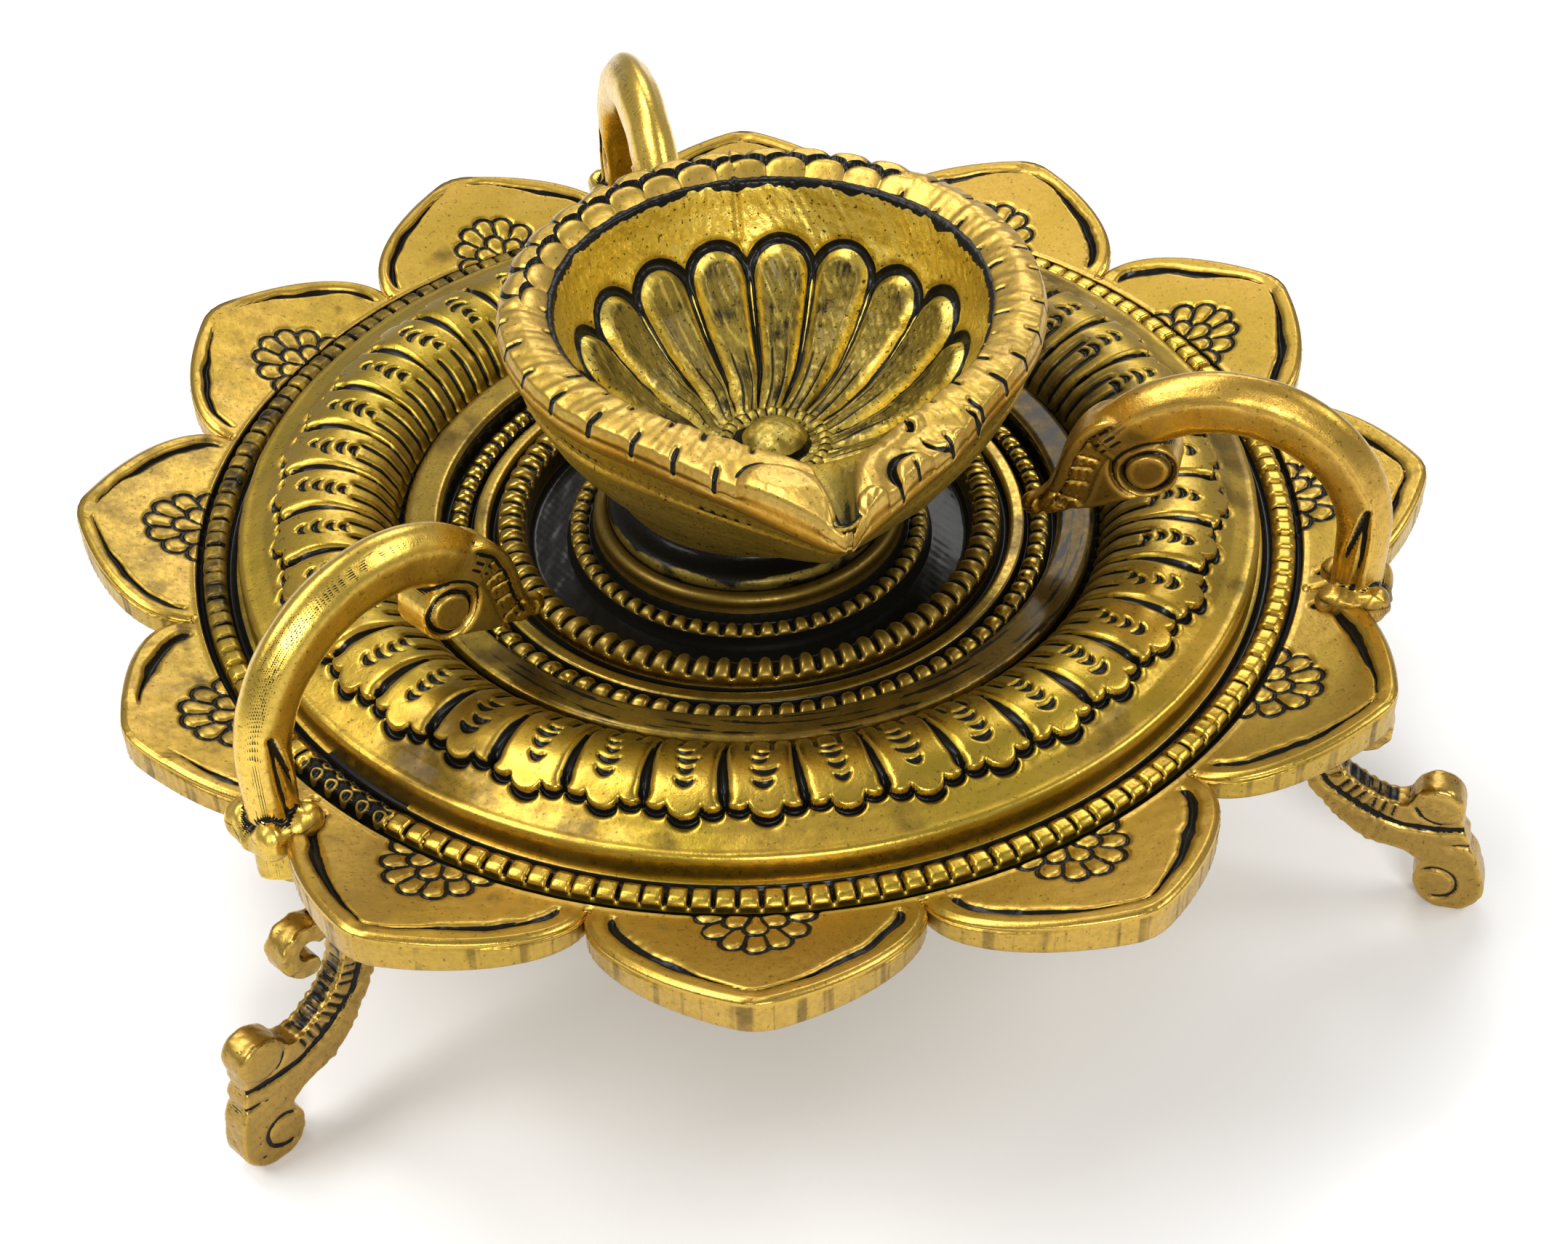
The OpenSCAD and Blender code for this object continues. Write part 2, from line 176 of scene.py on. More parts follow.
def brass(name, gold, olive, deep, rough, grain, brushed=0.0, pits=0.5):
    """Cast brass under lacquer. The patina mark is black in the cuts and in painted shade, the wear mark is
    bright on the edges and in a painted sheen, and the tone mark browns the skin and darkens it as painted
    shade; all three are painted on the mesh."""
    m = bpy.data.materials.new(name)
    m.use_nodes = True
    nt = m.node_tree
    nt.nodes.clear()

    def feed(socket, value):
        if isinstance(value, bpy.types.NodeSocket):
            nt.links.new(value, socket)
        else:
            socket.default_value = value

    def node(kind, *first, **named):
        n = nt.nodes.new(kind)
        for key, value in (*enumerate(first), *named.items()):
            feed(n.inputs[key], value)
        return n

    def mark(key):
        n = node("ShaderNodeAttribute")
        n.attribute_name = key
        return n.outputs["Fac"]

    def sum_of(a, b, op="ADD", clamp=False):
        n = node("ShaderNodeMath", a, b)
        n.operation, n.use_clamp = op, clamp
        return n.outputs[0]

    def times(a, b, clamp=False):
        return sum_of(a, b, "MULTIPLY", clamp)

    def less(a, b):
        return sum_of(a, b, "SUBTRACT")

    def step(value, low, high):
        n = node("ShaderNodeMapRange", value, low, high)
        n.interpolation_type = "SMOOTHSTEP"
        return n.outputs["Result"]

    def mix(f, a, b):
        n = node("ShaderNodeMix", f)
        n.data_type = "RGBA"
        for socket, value in zip(n.inputs[6:8], (a, b)):
            feed(socket, (*value, 1) if isinstance(value, tuple) else value)
        return n.outputs[2]

    def blend(f, a, b):
        return sum_of(times(less(1.0, f), a), times(f, b))

    where = node("ShaderNodeTexCoord").outputs["Object"]

    def noise(scale, detail, roughness=0.6, vector=where):
        return node("ShaderNodeTexNoise", Vector=vector, Scale=scale, Detail=detail,
                    Roughness=roughness).outputs["Fac"]

    patina_and_shade, wear_and_sheen, tone_and_shade = mark("patina_and_shade"), mark("wear_and_sheen"), mark("tone_and_shade")
    cloud, blotch, fine, sand = noise(45, 3), noise(260, 5), noise(1400, 4), noise(5200, 2)
    black = step(sum_of(patina_and_shade, times(less(blotch, 0.5), 0.5)), 0.44, 0.60)
    stain_and_shade = step(sum_of(tone_and_shade, times(less(blotch, 0.5), 1.1)), 0.25, 0.95)
    speck = times(step(noise(1900, 2, 0.5), 0.635, 0.70), pits, True)
    hue = mix(step(cloud, 0.38, 0.62), gold, olive)
    hue = mix(times(step(fine, 0.35, 0.75), 0.45), hue, deep)
    hue = mix(times(stain_and_shade, 0.86), hue, tuple(0.22 * c + d for c, d in zip(deep, SOOT_AND_SHADE)))
    hue = mix(times(wear_and_sheen, 0.5), hue, tuple(min(1, 1.25 * c) for c in gold))
    hue = mix(speck, hue, PIT)
    hue = mix(black, hue, PATINA_AND_SHADE)
    metal = blend(black, less(1.0, times(stain_and_shade, 0.15)), 0.15)
    gloss = blend(wear_and_sheen, sum_of(rough, times(less(fine, 0.5), 0.35)), rough * 0.62)
    gloss = sum_of(gloss, times(stain_and_shade, 0.16), clamp=True)
    gloss = blend(black, gloss, 0.30)
    height = sum_of(times(sand, 0.35 * grain), times(fine, grain))
    if brushed:
        lines = node("ShaderNodeMapping", Vector=where, Scale=(900.0, 120.0, 900.0)).outputs[0]
        height = sum_of(height, times(noise(4.0, 3, 0.7, lines), brushed))
    bump = node("ShaderNodeBump", Strength=0.35, Distance=0.00012, Height=height).outputs[0]
    glint = blend(black, less(0.5, times(stain_and_shade, 0.40)), 0.10)
    shader = node("ShaderNodeBsdfPrincipled", hue, metal, gloss, Normal=bump,
                  **{"Specular IOR Level": glint, "Coat Weight": 0.12, "Coat Roughness": 0.12})
    node("ShaderNodeOutputMaterial", shader.outputs[0])
    return m


DEEP = (0.30, 0.18, 0.028)
flats = brass("brass_flats", (0.50, 0.315, 0.058), (0.43, 0.28, 0.038), DEEP, 0.38, 0.35, 0.5)
dome = brass("brass_dome", (0.50, 0.325, 0.045), (0.40, 0.28, 0.026), DEEP, 0.41, 0.9)
# The rings' brass is darker than the plate's, as painted shade under the bowl.
rings = brass("brass_rings_shaded", (0.38, 0.25, 0.040), (0.28, 0.19, 0.022), (0.16, 0.09, 0.015), 0.30, 0.5)
# The bowl's brass is lighter than the plate's, partly as painted light for its brightly lit inner wall.
well = brass("brass_well", (0.78, 0.60, 0.130), (0.68, 0.51, 0.095), (0.36, 0.25, 0.03), 0.40, 2.0, 0, 0.9)
rim = brass("brass_rim", (0.60, 0.39, 0.085), (0.52, 0.345, 0.060), DEEP, 0.41, 0.7, 0.3)
swan = brass("brass_swan", (0.57, 0.35, 0.062), (0.49, 0.315, 0.043), (0.34, 0.17, 0.03), 0.35, 0.9, 0.4)
# A lighter copy of the swan brass, as painted light on the left and back handles.
swan_lit = brass("brass_swan_lit", (0.74, 0.50, 0.090), (0.62, 0.42, 0.065), (0.40, 0.24, 0.04), 0.33, 0.9, 0.3)
scroll = brass("brass_scroll", (0.46, 0.29, 0.066), (0.40, 0.255, 0.047), DEEP, 0.38, 0.8, 0.2)


# ---------------------------------------------------------------------- plate
UNDER = np.array([(0, -4.5), (14, -4.5), (20, -7), (30, -7.2), (40, -6), (45, -4.4), (49, -0.4),
                  (54, 1.4), (58, -0.2), (61.6, -3.4), (74, -3.4)])
# Patina, wear and tone of the cast underside.
UNDER_MARKS = (0.2, 0.0, 0.45)


def under(r, th):
    return interp(r, UNDER[:, 0], UNDER[:, 1]) + 0.08 * wobble(*polar(r, th), 9, 5)


def ring(name, profile, step, columns, relief, material):
    """A closed ring: its profile turned round the axis, with relief along the normal."""
    q = along(profile, step)
    t = np.gradient(q, axis=0)
    t /= hypot(*t.T)[:, None]
    th = arange(columns) * TAU / columns
    r, a = np.meshgrid(q[:, 0], th, indexing="ij")
    lift, paint, shine, brown = relief(r, a)
    r2, z2 = r - t[:, 1:] * lift, q[:, 1:] + t[:, :1] * lift
    back = linspace(q[-1, 0], q[0, 0], max(3, int(abs(q[-1, 0] - q[0, 0]) / 1.3)))
    rb, ab = np.meshgrid(back, th, indexing="ij")
    zb = under(rb, ab)
    hollow = cavity(lift, int(0.9 / step), 6)
    top = (r2, z2, a, maximum(paint, ease(0.10, 0.34, hollow)),
           maximum(shine, ease(0.06, 0.3, -hollow)) * (1 - paint), brown)
    underside = (rb, zb, ab, *(np.full(rb.shape, mark) for mark in UNDER_MARKS))
    radius, height, angle, *marks = (concatenate(pair) for pair in zip(top, underside))
    points = stack([*polar(radius, angle), TOP + height], -1)
    add_grid(name, points, marks, material, ["lotus_plate"])


def cells(a, count, jitter=0, seed=0):
    """The cell number and the place in it, -1 to 1, of each angle."""
    u = (a / TAU * count) % count
    k = np.floor(u).astype(int) % count
    off = draws(seed).uniform(-jitter, jitter, count)
    return k, 2 * (u - np.floor(u)) - 1 + off[k]


# How many beads, tongues and rope cuts go round, from the edge to the hub.
BEADS, TONGUES, ROPE_1, ROPE_2, ROPE_HUB = 162, 40, 93, 76, 63


def bead_relief(r, a):
    k, u = cells(a, BEADS, 0.10, 3)
    size = draws(4).uniform(0.85, 1.1, BEADS)[k]
    pitch = TAU * r / BEADS / 2
    gap = 1 - ease(0.06, 0.36, (1 - abs(u)) * pitch)
    on = window(r, 69.35, 71.75, 0.35)
    lift = on * (0.22 * size * (1 - abs(u) ** 3) - 1.15 * gap)
    paint = most(on * ease(0.35, 0.8, gap), window(r, 67.9, 68.95, 0.25), window(r, 72.2, 72.8, 0.2))
    # By the left handle the beads turn into small hollow rings.
    near = window(degrees(a), STATIONS["left"] - 4, STATIONS["left"] + 7, 1.0)
    across = minimum(hypot(u * pitch, r - 69.35), hypot(u * pitch, r - 71.35))
    hollow = 0.45 * ridge(across - 0.72, 0.30) - 0.35
    lift = lift * (1 - near) + near * hollow * window(r, 68.4, 72.6, 0.3)
    paint = paint * (1 - near) + near * (1.1 - 0.72 * ridge(across - 0.72, 0.34))
    # The beads at the back on the left are painted darker, as shade.
    darker_side = window(degrees(a), 100, 180, 15)
    paint = maximum(paint, 0.50 * darker_side * on)
    shine = on * (1 - gap) * 0.5
    return lift, paint, shine * (1 - near) * (1 - darker_side), 0.22 + 0.5 * near + 0.6 * darker_side + 0 * r


def tongue_relief(r, a):
    x, y = polar(r, a)
    bow = 0.55 * sin((r - 47) / 15 * np.pi) / r
    k, u = cells(a + bow, TONGUES)
    pick = draws(12)
    reach, thick, shift = (pick.uniform(-0.5, 0.5, TONGUES)[k], pick.uniform(0.8, 1.25, TONGUES)[k],
                           pick.uniform(-0.5, 0.5, TONGUES)[k])
    half = np.pi * r / TONGUES
    side = abs(u)
    # The side under the right handle is the most tarnished, above all on the inner slope.
    darker_side = ease(0.5, 1.0, cos(a - 0.15))
    edge = np.where(side < 0.40, 61.0 + 1.35 * swell(u / 0.40), 60.4 + 1.05 * swell((side - 0.68) / 0.30))
    edge = edge + reach * 0.7
    d = edge - r
    inside = ease(-0.30, 0.18, d)
    lift = 0.75 * inside * ease(46.5, 50, r)
    outline = ridge(d + 0.42, 0.42 * thick) * (r > 57.5)
    split = (1 - side) * half
    width = (0.20 + 0.45 * ease(50, 59, r) * (1 - 0.6 * ease(59.5, 61, r))) * thick
    divide = ridge(split, width) * window(r, 50.5, 60.2, 1.5)
    corner = ridge(hypot(split, r - 60.3), 0.8)
    lift -= 0.85 * outline + divide + 0.7 * corner
    paint = most(1.15 * outline * (wobble(x, y, 3, 8) * 0.15 + 0.95), corner,
                 1.2 * divide * ease(50.5, 53.5, r))
    # Crescent punch marks down the middle of every tongue.
    across = u * half - 0.9 * shift * ease(60, 50, r)
    for i, (place, size) in enumerate(((58.7, 1.0), (56.9, 1.15), (55.1, 1.05), (53.5, 0.8))):
        jog = draws(70 + i)
        off, grow = jog.uniform(-0.45, 0.45, TONGUES)[k], jog.uniform(0.75, 1.2, TONGUES)[k]
        w = 1.3 * size * grow
        t = (across - off) / w
        curve = place + 0.3 * off - 0.75 * t * t * size
        cut = ridge(r - curve, 0.36 * (1.25 - 0.7 * clip(t * t, 0, 1))) * ease(1.0, 0.75, abs(t))
        lift -= 0.55 * cut
        paint = maximum(paint, cut * (0.95 + 0.3 * grow))
    # Flutes on the inner slope.
    for place in (-0.36, 0.36):
        flute = ridge((u - place) * half, 0.42) * window(r, 47.2, 51.6 + 1.2 * shift + 2 * darker_side, 1.4)
        lift -= 0.55 * flute
        paint = maximum(paint, flute)
    inner = ridge(split, 0.36) * window(r, 47.0, 51, 1.2)
    lift -= 0.6 * inner
    paint = most(paint, inner, 1 - ease(46.2, 46.9, r), 0.50 * darker_side * ease(57, 50, r))
    lift += 0.05 * wobble(x, y, 14, 9)
    shine = 0.5 * inside * (1 - outline) * window(r, 57, 60.5, 2) + 0.8 * ridge(r - 66.7, 0.4)
    brown = 0.16 + 0.3 * ease(0.2, 0.9, wobble(x, y, 26, 10)) + 0.25 * ease(50, 46, r)
    # The smooth outer band on the front side is painted browner, as shade.
    brown += 0.22 * window(r, 62.5, 66, 1) * ease(0.2, 1.0, -sin(a))
    brown += darker_side * (0.34 + 0.5 * ease(58, 50, r))
    patch = ridge(hypot(x + 48, y + 39), 9)
    return lift, paint + 0.25 * patch, shine, brown + 0.6 * patch


def rope(r, a, count, jitter, seed, centre, half, slant, width):
    """Dark wedge-shaped cuts across a half-round ring, wider on its inner side."""
    s = (r - centre) / half
    v = (cells(a, count, jitter, seed)[1] + slant * s + 1) % 2 - 1
    gap = (1 - abs(v)) * (TAU * r / count) / 2
    return ridge(gap, width * (1.15 - 0.45 * s)) * window(s, -0.95, 0.8, 0.15), v


def inner_relief(r, a):
    x, y = polar(r, a)
    cut2, v2 = rope(r, a, ROPE_2, 0.06, 21, 31.6, 1.9, 0.10, 0.40)
    cut1, v1 = rope(r, a, ROPE_1, 0.06, 22, 38.7, 1.4, 0.12, 0.32)
    on2, on1 = window(r, 30.1, 33.1, 0.4), window(r, 37.6, 39.8, 0.3)
    lift = on2 * (0.25 * (1 - v2 ** 2) - 0.95 * cut2) + on1 * (0.2 * (1 - v1 ** 2) - 0.75 * cut1)
    grooves = most(window(r, 24, 29.3, 0.3), window(r, 33.75, 34.55, 0.25), window(r, 36.75, 37.35, 0.25),
                   window(r, 40.15, 40.85, 0.3), 1 * (r > 45.85))
    scuff = clip(0.5 + 0.6 * wobble(x, y, 7, 23), 0, 1)
    floor = window(r, 24.6, 28.9, 0.3)
    lift += floor * 0.02 * wobble(x, y, 4, 24)
    flat = window(r, 41.4, 45.2, 0.5)
    back_side = 0.5 + 0.5 * sin(a - 0.2)
    near = ease(-0.1, 0.9, -sin(a))
    brown = 0.9 * floor + 0.45 * ease(0.2, 1.0, wobble(x, y, 18, 25)) * (0.4 + 0.6 * back_side) + 0.2
    # Painted shade: the rope ring next to the bowl is browner all round, and the rings at the front are
    # browner still.
    brown += 0.35 * near * (r > 35) + (0.3 + 0.4 * near) * on2
    brown += flat * (0.16 + ease(0.2, 1.0, cos(a)) * (0.85 + 0.2 * wobble(x, y, 9, 26)))
    streaks = ease(-0.1, 0.9, -sin(a + 0.2)) * ease(-0.1, 0.6, wobble(3.0 * r, 7 * a, 3.2, 27))
    tarnish = window(r, 41.2, 45.6, 0.2) * (0.62 * streaks + 0.52 * ease(0.3, 1.0, cos(a - 0.2)))
    paint = most(on2 * cut2 * 1.1, on1 * cut1, grooves * (1 - floor * (0.10 + 0.14 * scuff)), tarnish)
    shine = 0.6 * (on2 * (1 - cut2) + on1 * (1 - cut1))
    return lift, paint, shine * 0.8, brown


def hub_relief(r, a):
    cut, v = rope(r, a, ROPE_HUB, 0.08, 31, 22.7, 1.2, 0.0, 0.34)
    on = window(r, 21.7, 23.7, 0.3)
    lift = on * (0.2 * (1 - v ** 2) - 0.8 * cut)
    paint = most(on * cut, window(r, 20.9, 21.6, 0.25), r > 23.85)
    shine = 0.3 * window(r, 18.8, 20.3, 0.3) + 0.4 * on * (1 - cut)
    # The hub is painted dark brown all over, as shade under the bowl.
    return lift, paint, shine, 0.92 + 0 * r


dome_t = linspace(0, 1, 26)
DOME = list(zip(47.2 + 16.4 * dome_t, 1.6 + 2.2 * dome_t + 14 * dome_t * (1 - dome_t)))
ring("plate_bead_band", [(66.9, -0.5), (67.8, -0.6), (68.3, -1.3), (68.8, -1.35), (69.0, -1.0), (69.3, 0.1),
                         (69.9, 0.6), (71.3, 0.6), (71.9, 0.1), (72.15, -1.0), (72.4, -1.35), (73.0, -1.35),
                         (73.6, -0.9)],
     0.16, BEADS * 14, bead_relief, dome)
ring("plate_tongue_band", [(46.0, -0.7), (46.7, 0.3), *DOME, (65.9, 3.15), (66.5, 3.2), (67.0, 2.9),
                           (67.25, 2.2), (67.3, -1.6)], 0.22, TONGUES * 44, tongue_relief, dome)
ring("plate_inner_rings", [(24.2, -3.5), (28.9, -3.5), (29.5, -2.6), *arc(31.6, -0.9, 1.9, 185, -5),
                           (34.1, -2.3), (34.75, -1.1), (35.0, -0.75), (36.5, -0.7), (36.8, -1.0),
                           (37.15, -2.1), *arc(38.7, -1.6, 1.4, 180, 0), (40.5, -1.9), (40.9, 0.6),
                           (41.4, 1.3), (45.1, 1.4), (45.7, 1.1), (46.0, -0.4), (46.4, -0.8)],
     0.17, ROPE_1 * 14, inner_relief, rings)
ring("plate_hub", [(6, 0.9), (18.3, 0.9), *arc(19.5, 0.9, 1.1, 175, -25), (20.9, -0.6), (21.2, -1.8),
                   *arc(22.7, -1.9, 1.2, 175, 5), (24.0, -2.7), (24.5, -3.6)],
     0.16, ROPE_HUB * 14, hub_relief, rings)


# --------------------------------------------------------------------- petals
NOTCH, TIP, RISE = 74.0, 90.4, 4.5
PETALS, COLUMNS = 12, 200
# How far each hand-filed petal falls short, and where its two strokes start.
SHORT = (0.3, 0.6, 0.2, 0.8, 0.4, 0.6, 0.5, 0.9, 1.2, 2.6, 0.0, 0.1)
STROKE_FROM = (0.05, 0.10, 0.07, 0.12, 0.10, 0.08, 0.16, 0.20, 0.14, 0.30, 0.07, 0.05)
# How much nearer to the edge, in millimetres, and finer the strokes lie on the back petals.
CLOSER = (0, 0, 0, 0.2, 0.4, 0.5, 0.8, 0.8, 0.7, 0.3, 0, 0)
# The petals on the left are painted browner, as shade.
LEFT_PETAL_SHADE = (0, 0, 0, 0, 0, 0, 0.10, 0.26, 0.32, 0.26, 0.10, 0)


def bezier(a, b, c, d, t):
    a, b, c, d = (np.array(p, float) for p in (a, b, c, d))
    t = t[:, None]
    return (1 - t) ** 3 * a + 3 * t * (1 - t) ** 2 * b + 3 * t * t * (1 - t) * c + t ** 3 * d


def petal_outline(k, u):
    """One petal's edge, from its clockwise notch at u -1 over the tip to u 1."""
    tip = TIP - SHORT[k]
    start = polar(NOTCH, radians(15))
    fine = linspace(0, 1, 400)
    half = bezier(start, (start[0] + 7.5, start[1] + 2), (tip - 3, 10), (tip, 0), fine)
    # The very tip of the ogee is blunt.
    half[:, 0] -= 0.35 * ridge(half[:, 1], 1.2)
    d = np.r_[0, cumsum(hypot(*np.diff(half, axis=0).T))]
    s = (1 - abs(u)) * d[-1]
    return stack([interp(s, d, half[:, 0]), np.sign(u) * interp(s, d, half[:, 1])], 1)


def to_segment(a, b, x, y):
    """Distance from the segment a b, and the nearest point's place on it, 0 to 1."""
    (ax, ay), (dx, dy) = a, b - a
    t = clip(((x - ax) * dx + (y - ay) * dy) / (dx ** 2 + dy ** 2), 0, 1)
    return hypot(x - ax - t * dx, y - ay - t * dy), t


def path_field(points, x, y):
    """Distance from an open path, and how far along it the nearest point lies."""
    d, place, run = np.full(x.shape, 1e3), zeros(x.shape), 0.0
    p = np.array(points, float)
    for a, b in zip(p[:-1], p[1:]):
        length = hypot(*(b - a))
        e, t = to_segment(a, b, x, y)
        place = np.where(e < d, run + t * length, place)
        d = minimum(d, e)
        run += length
    return d, place


def lobes(x, y, count, reach_x, reach_y, radius, spread, root):
    """Cut lines of a fan: scallops at the outer end, with a line between each two."""
    line, bulb = zeros(x.shape), zeros(x.shape)
    for a in radians(linspace(-spread, spread, count)):
        cx, cy = reach_x * cos(a), reach_y * sin(a)
        d = hypot(x - cx, y - cy)
        outward = (x - cx) * cos(a) + (y - cy) * sin(a)
        line = maximum(line, ridge(d - radius, 0.33) * ease(-0.7, 0.1, outward))
        bulb = maximum(bulb, 1 - ease(0.3 * radius, radius, d))
        b = a + radians(spread / (count - 1))
        if b < radians(spread):
            ends = [(k * reach_x * cos(b), k * reach_y * sin(b)) for k in (root / reach_x, 1)]
            line = maximum(line, ridge(path_field(ends, x, y)[0], 0.29))
    return line, bulb


PETAL_ROOT, ROSETTE = 72.3, 71.9
UPPER_SLOPE, LOWER_SLOPE = RISE / (TIP - NOTCH), 2.7 / (TIP - NOTCH)
PLATE_UNDER = -3.4


def petal_face(k, x, y):
    """Relief and marks of a petal's upper face: its two strokes and its rosette."""
    r, dist, near = hypot(x, y), np.full(x.shape, 99.0), zeros(x.shape)
    for i, (ox, oy) in enumerate(petal_outline(k, linspace(-1, 1, 161))):
        d = hypot(x - ox, y - oy)
        near = np.where(d < dist, -1 + i / 80, near)
        dist = minimum(dist, d)
    un = abs(near)
    body = window(un, STROKE_FROM[k], 0.90, 0.10)
    heavy = 0.15 + 0.48 * ease(STROKE_FROM[k], 0.55, un) * (1 - 0.3 * ease(0.8, 0.95, un))
    heavy = heavy * (1 - 0.45 * CLOSER[k]) * (1 + 0.2 * wobble(near * 9, 0 * near + k, 2, 60 + k))
    centre = 3.1 - CLOSER[k] - 0.5 * ease(0.5, 0.1, un) + 0.28 * wobble(near * 6 + 3 * k, 0 * near, 4, 50 + k)
    cut = ridge(dist - centre, heavy) * body
    line, bulb = lobes(x - ROSETTE, y, 7, 6.9, 5.5, 1.5, 84, 4.9)
    line2, bulb2 = lobes(x - ROSETTE, y, 3, 3.4, 2.8, 1.4, 56, 0.5)
    fan = maximum(line, line2) * (0.85 + 0.25 * wobble(x, y + 30 * k, 3, 33))
    lift = -0.75 * cut - 0.45 * fan + 0.12 * maximum(bulb, bulb2) * (r > 73)
    lift += 0.22 * ease(centre + 0.2, centre - 0.9, dist) * body
    lift += 0.02 * wobble(x, y + 40 * k, 9, 71) - 0.18 * ease(0.5, 0.0, dist - 0.4)
    paint = most(1.35 * cut, 1.35 * fan, 1 - ease(72.75, 73.3, r), ease(0.12, 0.3, cavity(lift, 3, 3)))
    brown = 0.12 + LEFT_PETAL_SHADE[k] + 0.35 * ease(0.2, 1, wobble(x, y + 50 * k, 9, 72)) * ease(4, 0, abs(r - 76))
    z = UPPER_SLOPE * (r - NOTCH) * ease(72.6, 74.2, r) - 1.5 * ease(73.2, 72.45, r)
    return z + lift, paint, 0.75 * ease(1.0, 0.3, dist), brown


def petal(k):
    """A petal's points and marks, row by row from its root over the edge to underneath."""
    u = (arange(COLUMNS) + 0.5) / COLUMNS * 2 - 1
    edge = petal_outline(k, u)
    t = np.gradient(petal_outline(k, linspace(-1, 1, 401)), axis=0)
    t = stack([interp(u, linspace(-1, 1, 401), t[:, i]) for i in (0, 1)], 1)
    t /= hypot(*t.T)[:, None]
    out = stack([t[:, 1], -t[:, 0]], 1)
    base = stack(polar(PETAL_ROOT, radians(15) * u), 1)
    v = linspace(0, 1, 96)[:, None, None] ** 0.92
    top = base * (1 - v) + (edge - 0.55 * out) * v
    z, *face = petal_face(k, top[..., 0], top[..., 1])
    # The filed edge, then the cast underside.
    beyond = hypot(*edge.T) - NOTCH
    high, low = UPPER_SLOPE * beyond, PLATE_UNDER + LOWER_SLOPE * beyond
    strip, still = linspace(0, 60, COLUMNS), zeros(COLUMNS)
    filing = 0.05 * wobble(strip + 70 * k, still, 1.1, 81)
    rows = [(edge + (push + filing * (share < -0.5))[:, None] * out, high + share)
            for push, share in ((-0.12, -0.20), (-0.02, -0.42), (0, -0.9))]
    rows += [(edge + (filing + 0.04 * sin(7 * f))[:, None] * out, high * (1 - f) + low * f)
             for f in linspace(0.2, 0.9, 6)]
    rows += [(edge + push * out, low + share) for push, share in ((-0.1, 0.25), (-0.5, 0.0))]
    for f in (0.15, 0.35, 0.6, 0.85, 1.0):
        q = (edge - 0.5 * out) * (1 - f) + base * f
        rows.append((q, maximum(PLATE_UNDER, PLATE_UNDER + LOWER_SLOPE * (hypot(*q.T) - NOTCH))))
    side, side_z = (stack(part) for part in zip(*rows))
    streak = 0.4 + ease(0.1, 0.8, wobble(strip + 33 * k, still, 2.6, 83))
    edge_marks = ((0, 0.06), (0.8, 0.1), (0.1, 0.5))
    marks = [concatenate([mark, np.full((2, COLUMNS), upper), np.tile(lower * streak, (len(rows) - 2, 1))])
             for mark, (upper, lower) in zip(face, edge_marks)]
    (x, y), z = np.moveaxis(concatenate([top, side]), -1, 0), concatenate([z, side_z])
    return stack([*turned(x, y, -75 + 30 * k), TOP + z], -1), *marks


petals, *petal_marks = (concatenate(part, 1) for part in zip(*map(petal, range(PETALS))))
add_grid("plate_petals", petals, petal_marks, flats, ["lotus_plate"])


# ----------------------------------------------------------------------- bowl
CUP = np.array([4.2, 1.2])
SPOUT = radians(-95.7)
RIM_R, MOUTH = 34.8, 27.7
FLUTES, TICKS = 17, 58


def hull_radius(angle, discs):
    """Polar radius of the hull of discs (x towards the spout, y, radius)."""
    phi = linspace(-np.pi, np.pi, 1441)
    h = np.max([x * cos(phi) + y * sin(phi) + r for x, y, r in discs], 0)
    c = cos(phi[None] - angle[:, None])
    return np.min(np.where(c > 0.2, h / maximum(c, 0.2), 1e3), 1)


BOWL_COLUMNS = 1320
bt = arange(BOWL_COLUMNS) / BOWL_COLUMNS * TAU - np.pi
PSI = bt - 0.5 * sin(bt)
outer_r = hull_radius(PSI, [(0, 0, RIM_R), (44.4, 0, 2.5), (27.8, 8.7, 10), (26.9, -8.3, 10)])
inner_r = hull_radius(PSI, [(0, 0, MOUTH), (3.0, 0.4, 26.4), (36.2, 0.9, 1.0)])
# The wick's slot, from the well out to the tip between its two slanting sides.
slot = np.where(PSI > 0.016, 10.7 / maximum(np.tan(PSI) + 0.2, 0.2), 6.7 / maximum(0.143 - np.tan(PSI), 0.14))
slot = np.where(abs(PSI) < 0.5, minimum(slot, 46.2), 0)
inner_r = maximum(inner_r, slot)
EXT_O, EXT_I = outer_r - RIM_R, inner_r - MOUTH


def cup_points(r, z):
    """Points of the cup from radius and height grids, over the columns PSI."""
    sway = ease(4.5, 12, z)[..., None] * CUP
    x, y = polar(r, PSI[None] + SPOUT)
    return stack([x + sway[..., 0], y + sway[..., 1], TOP + z], -1)


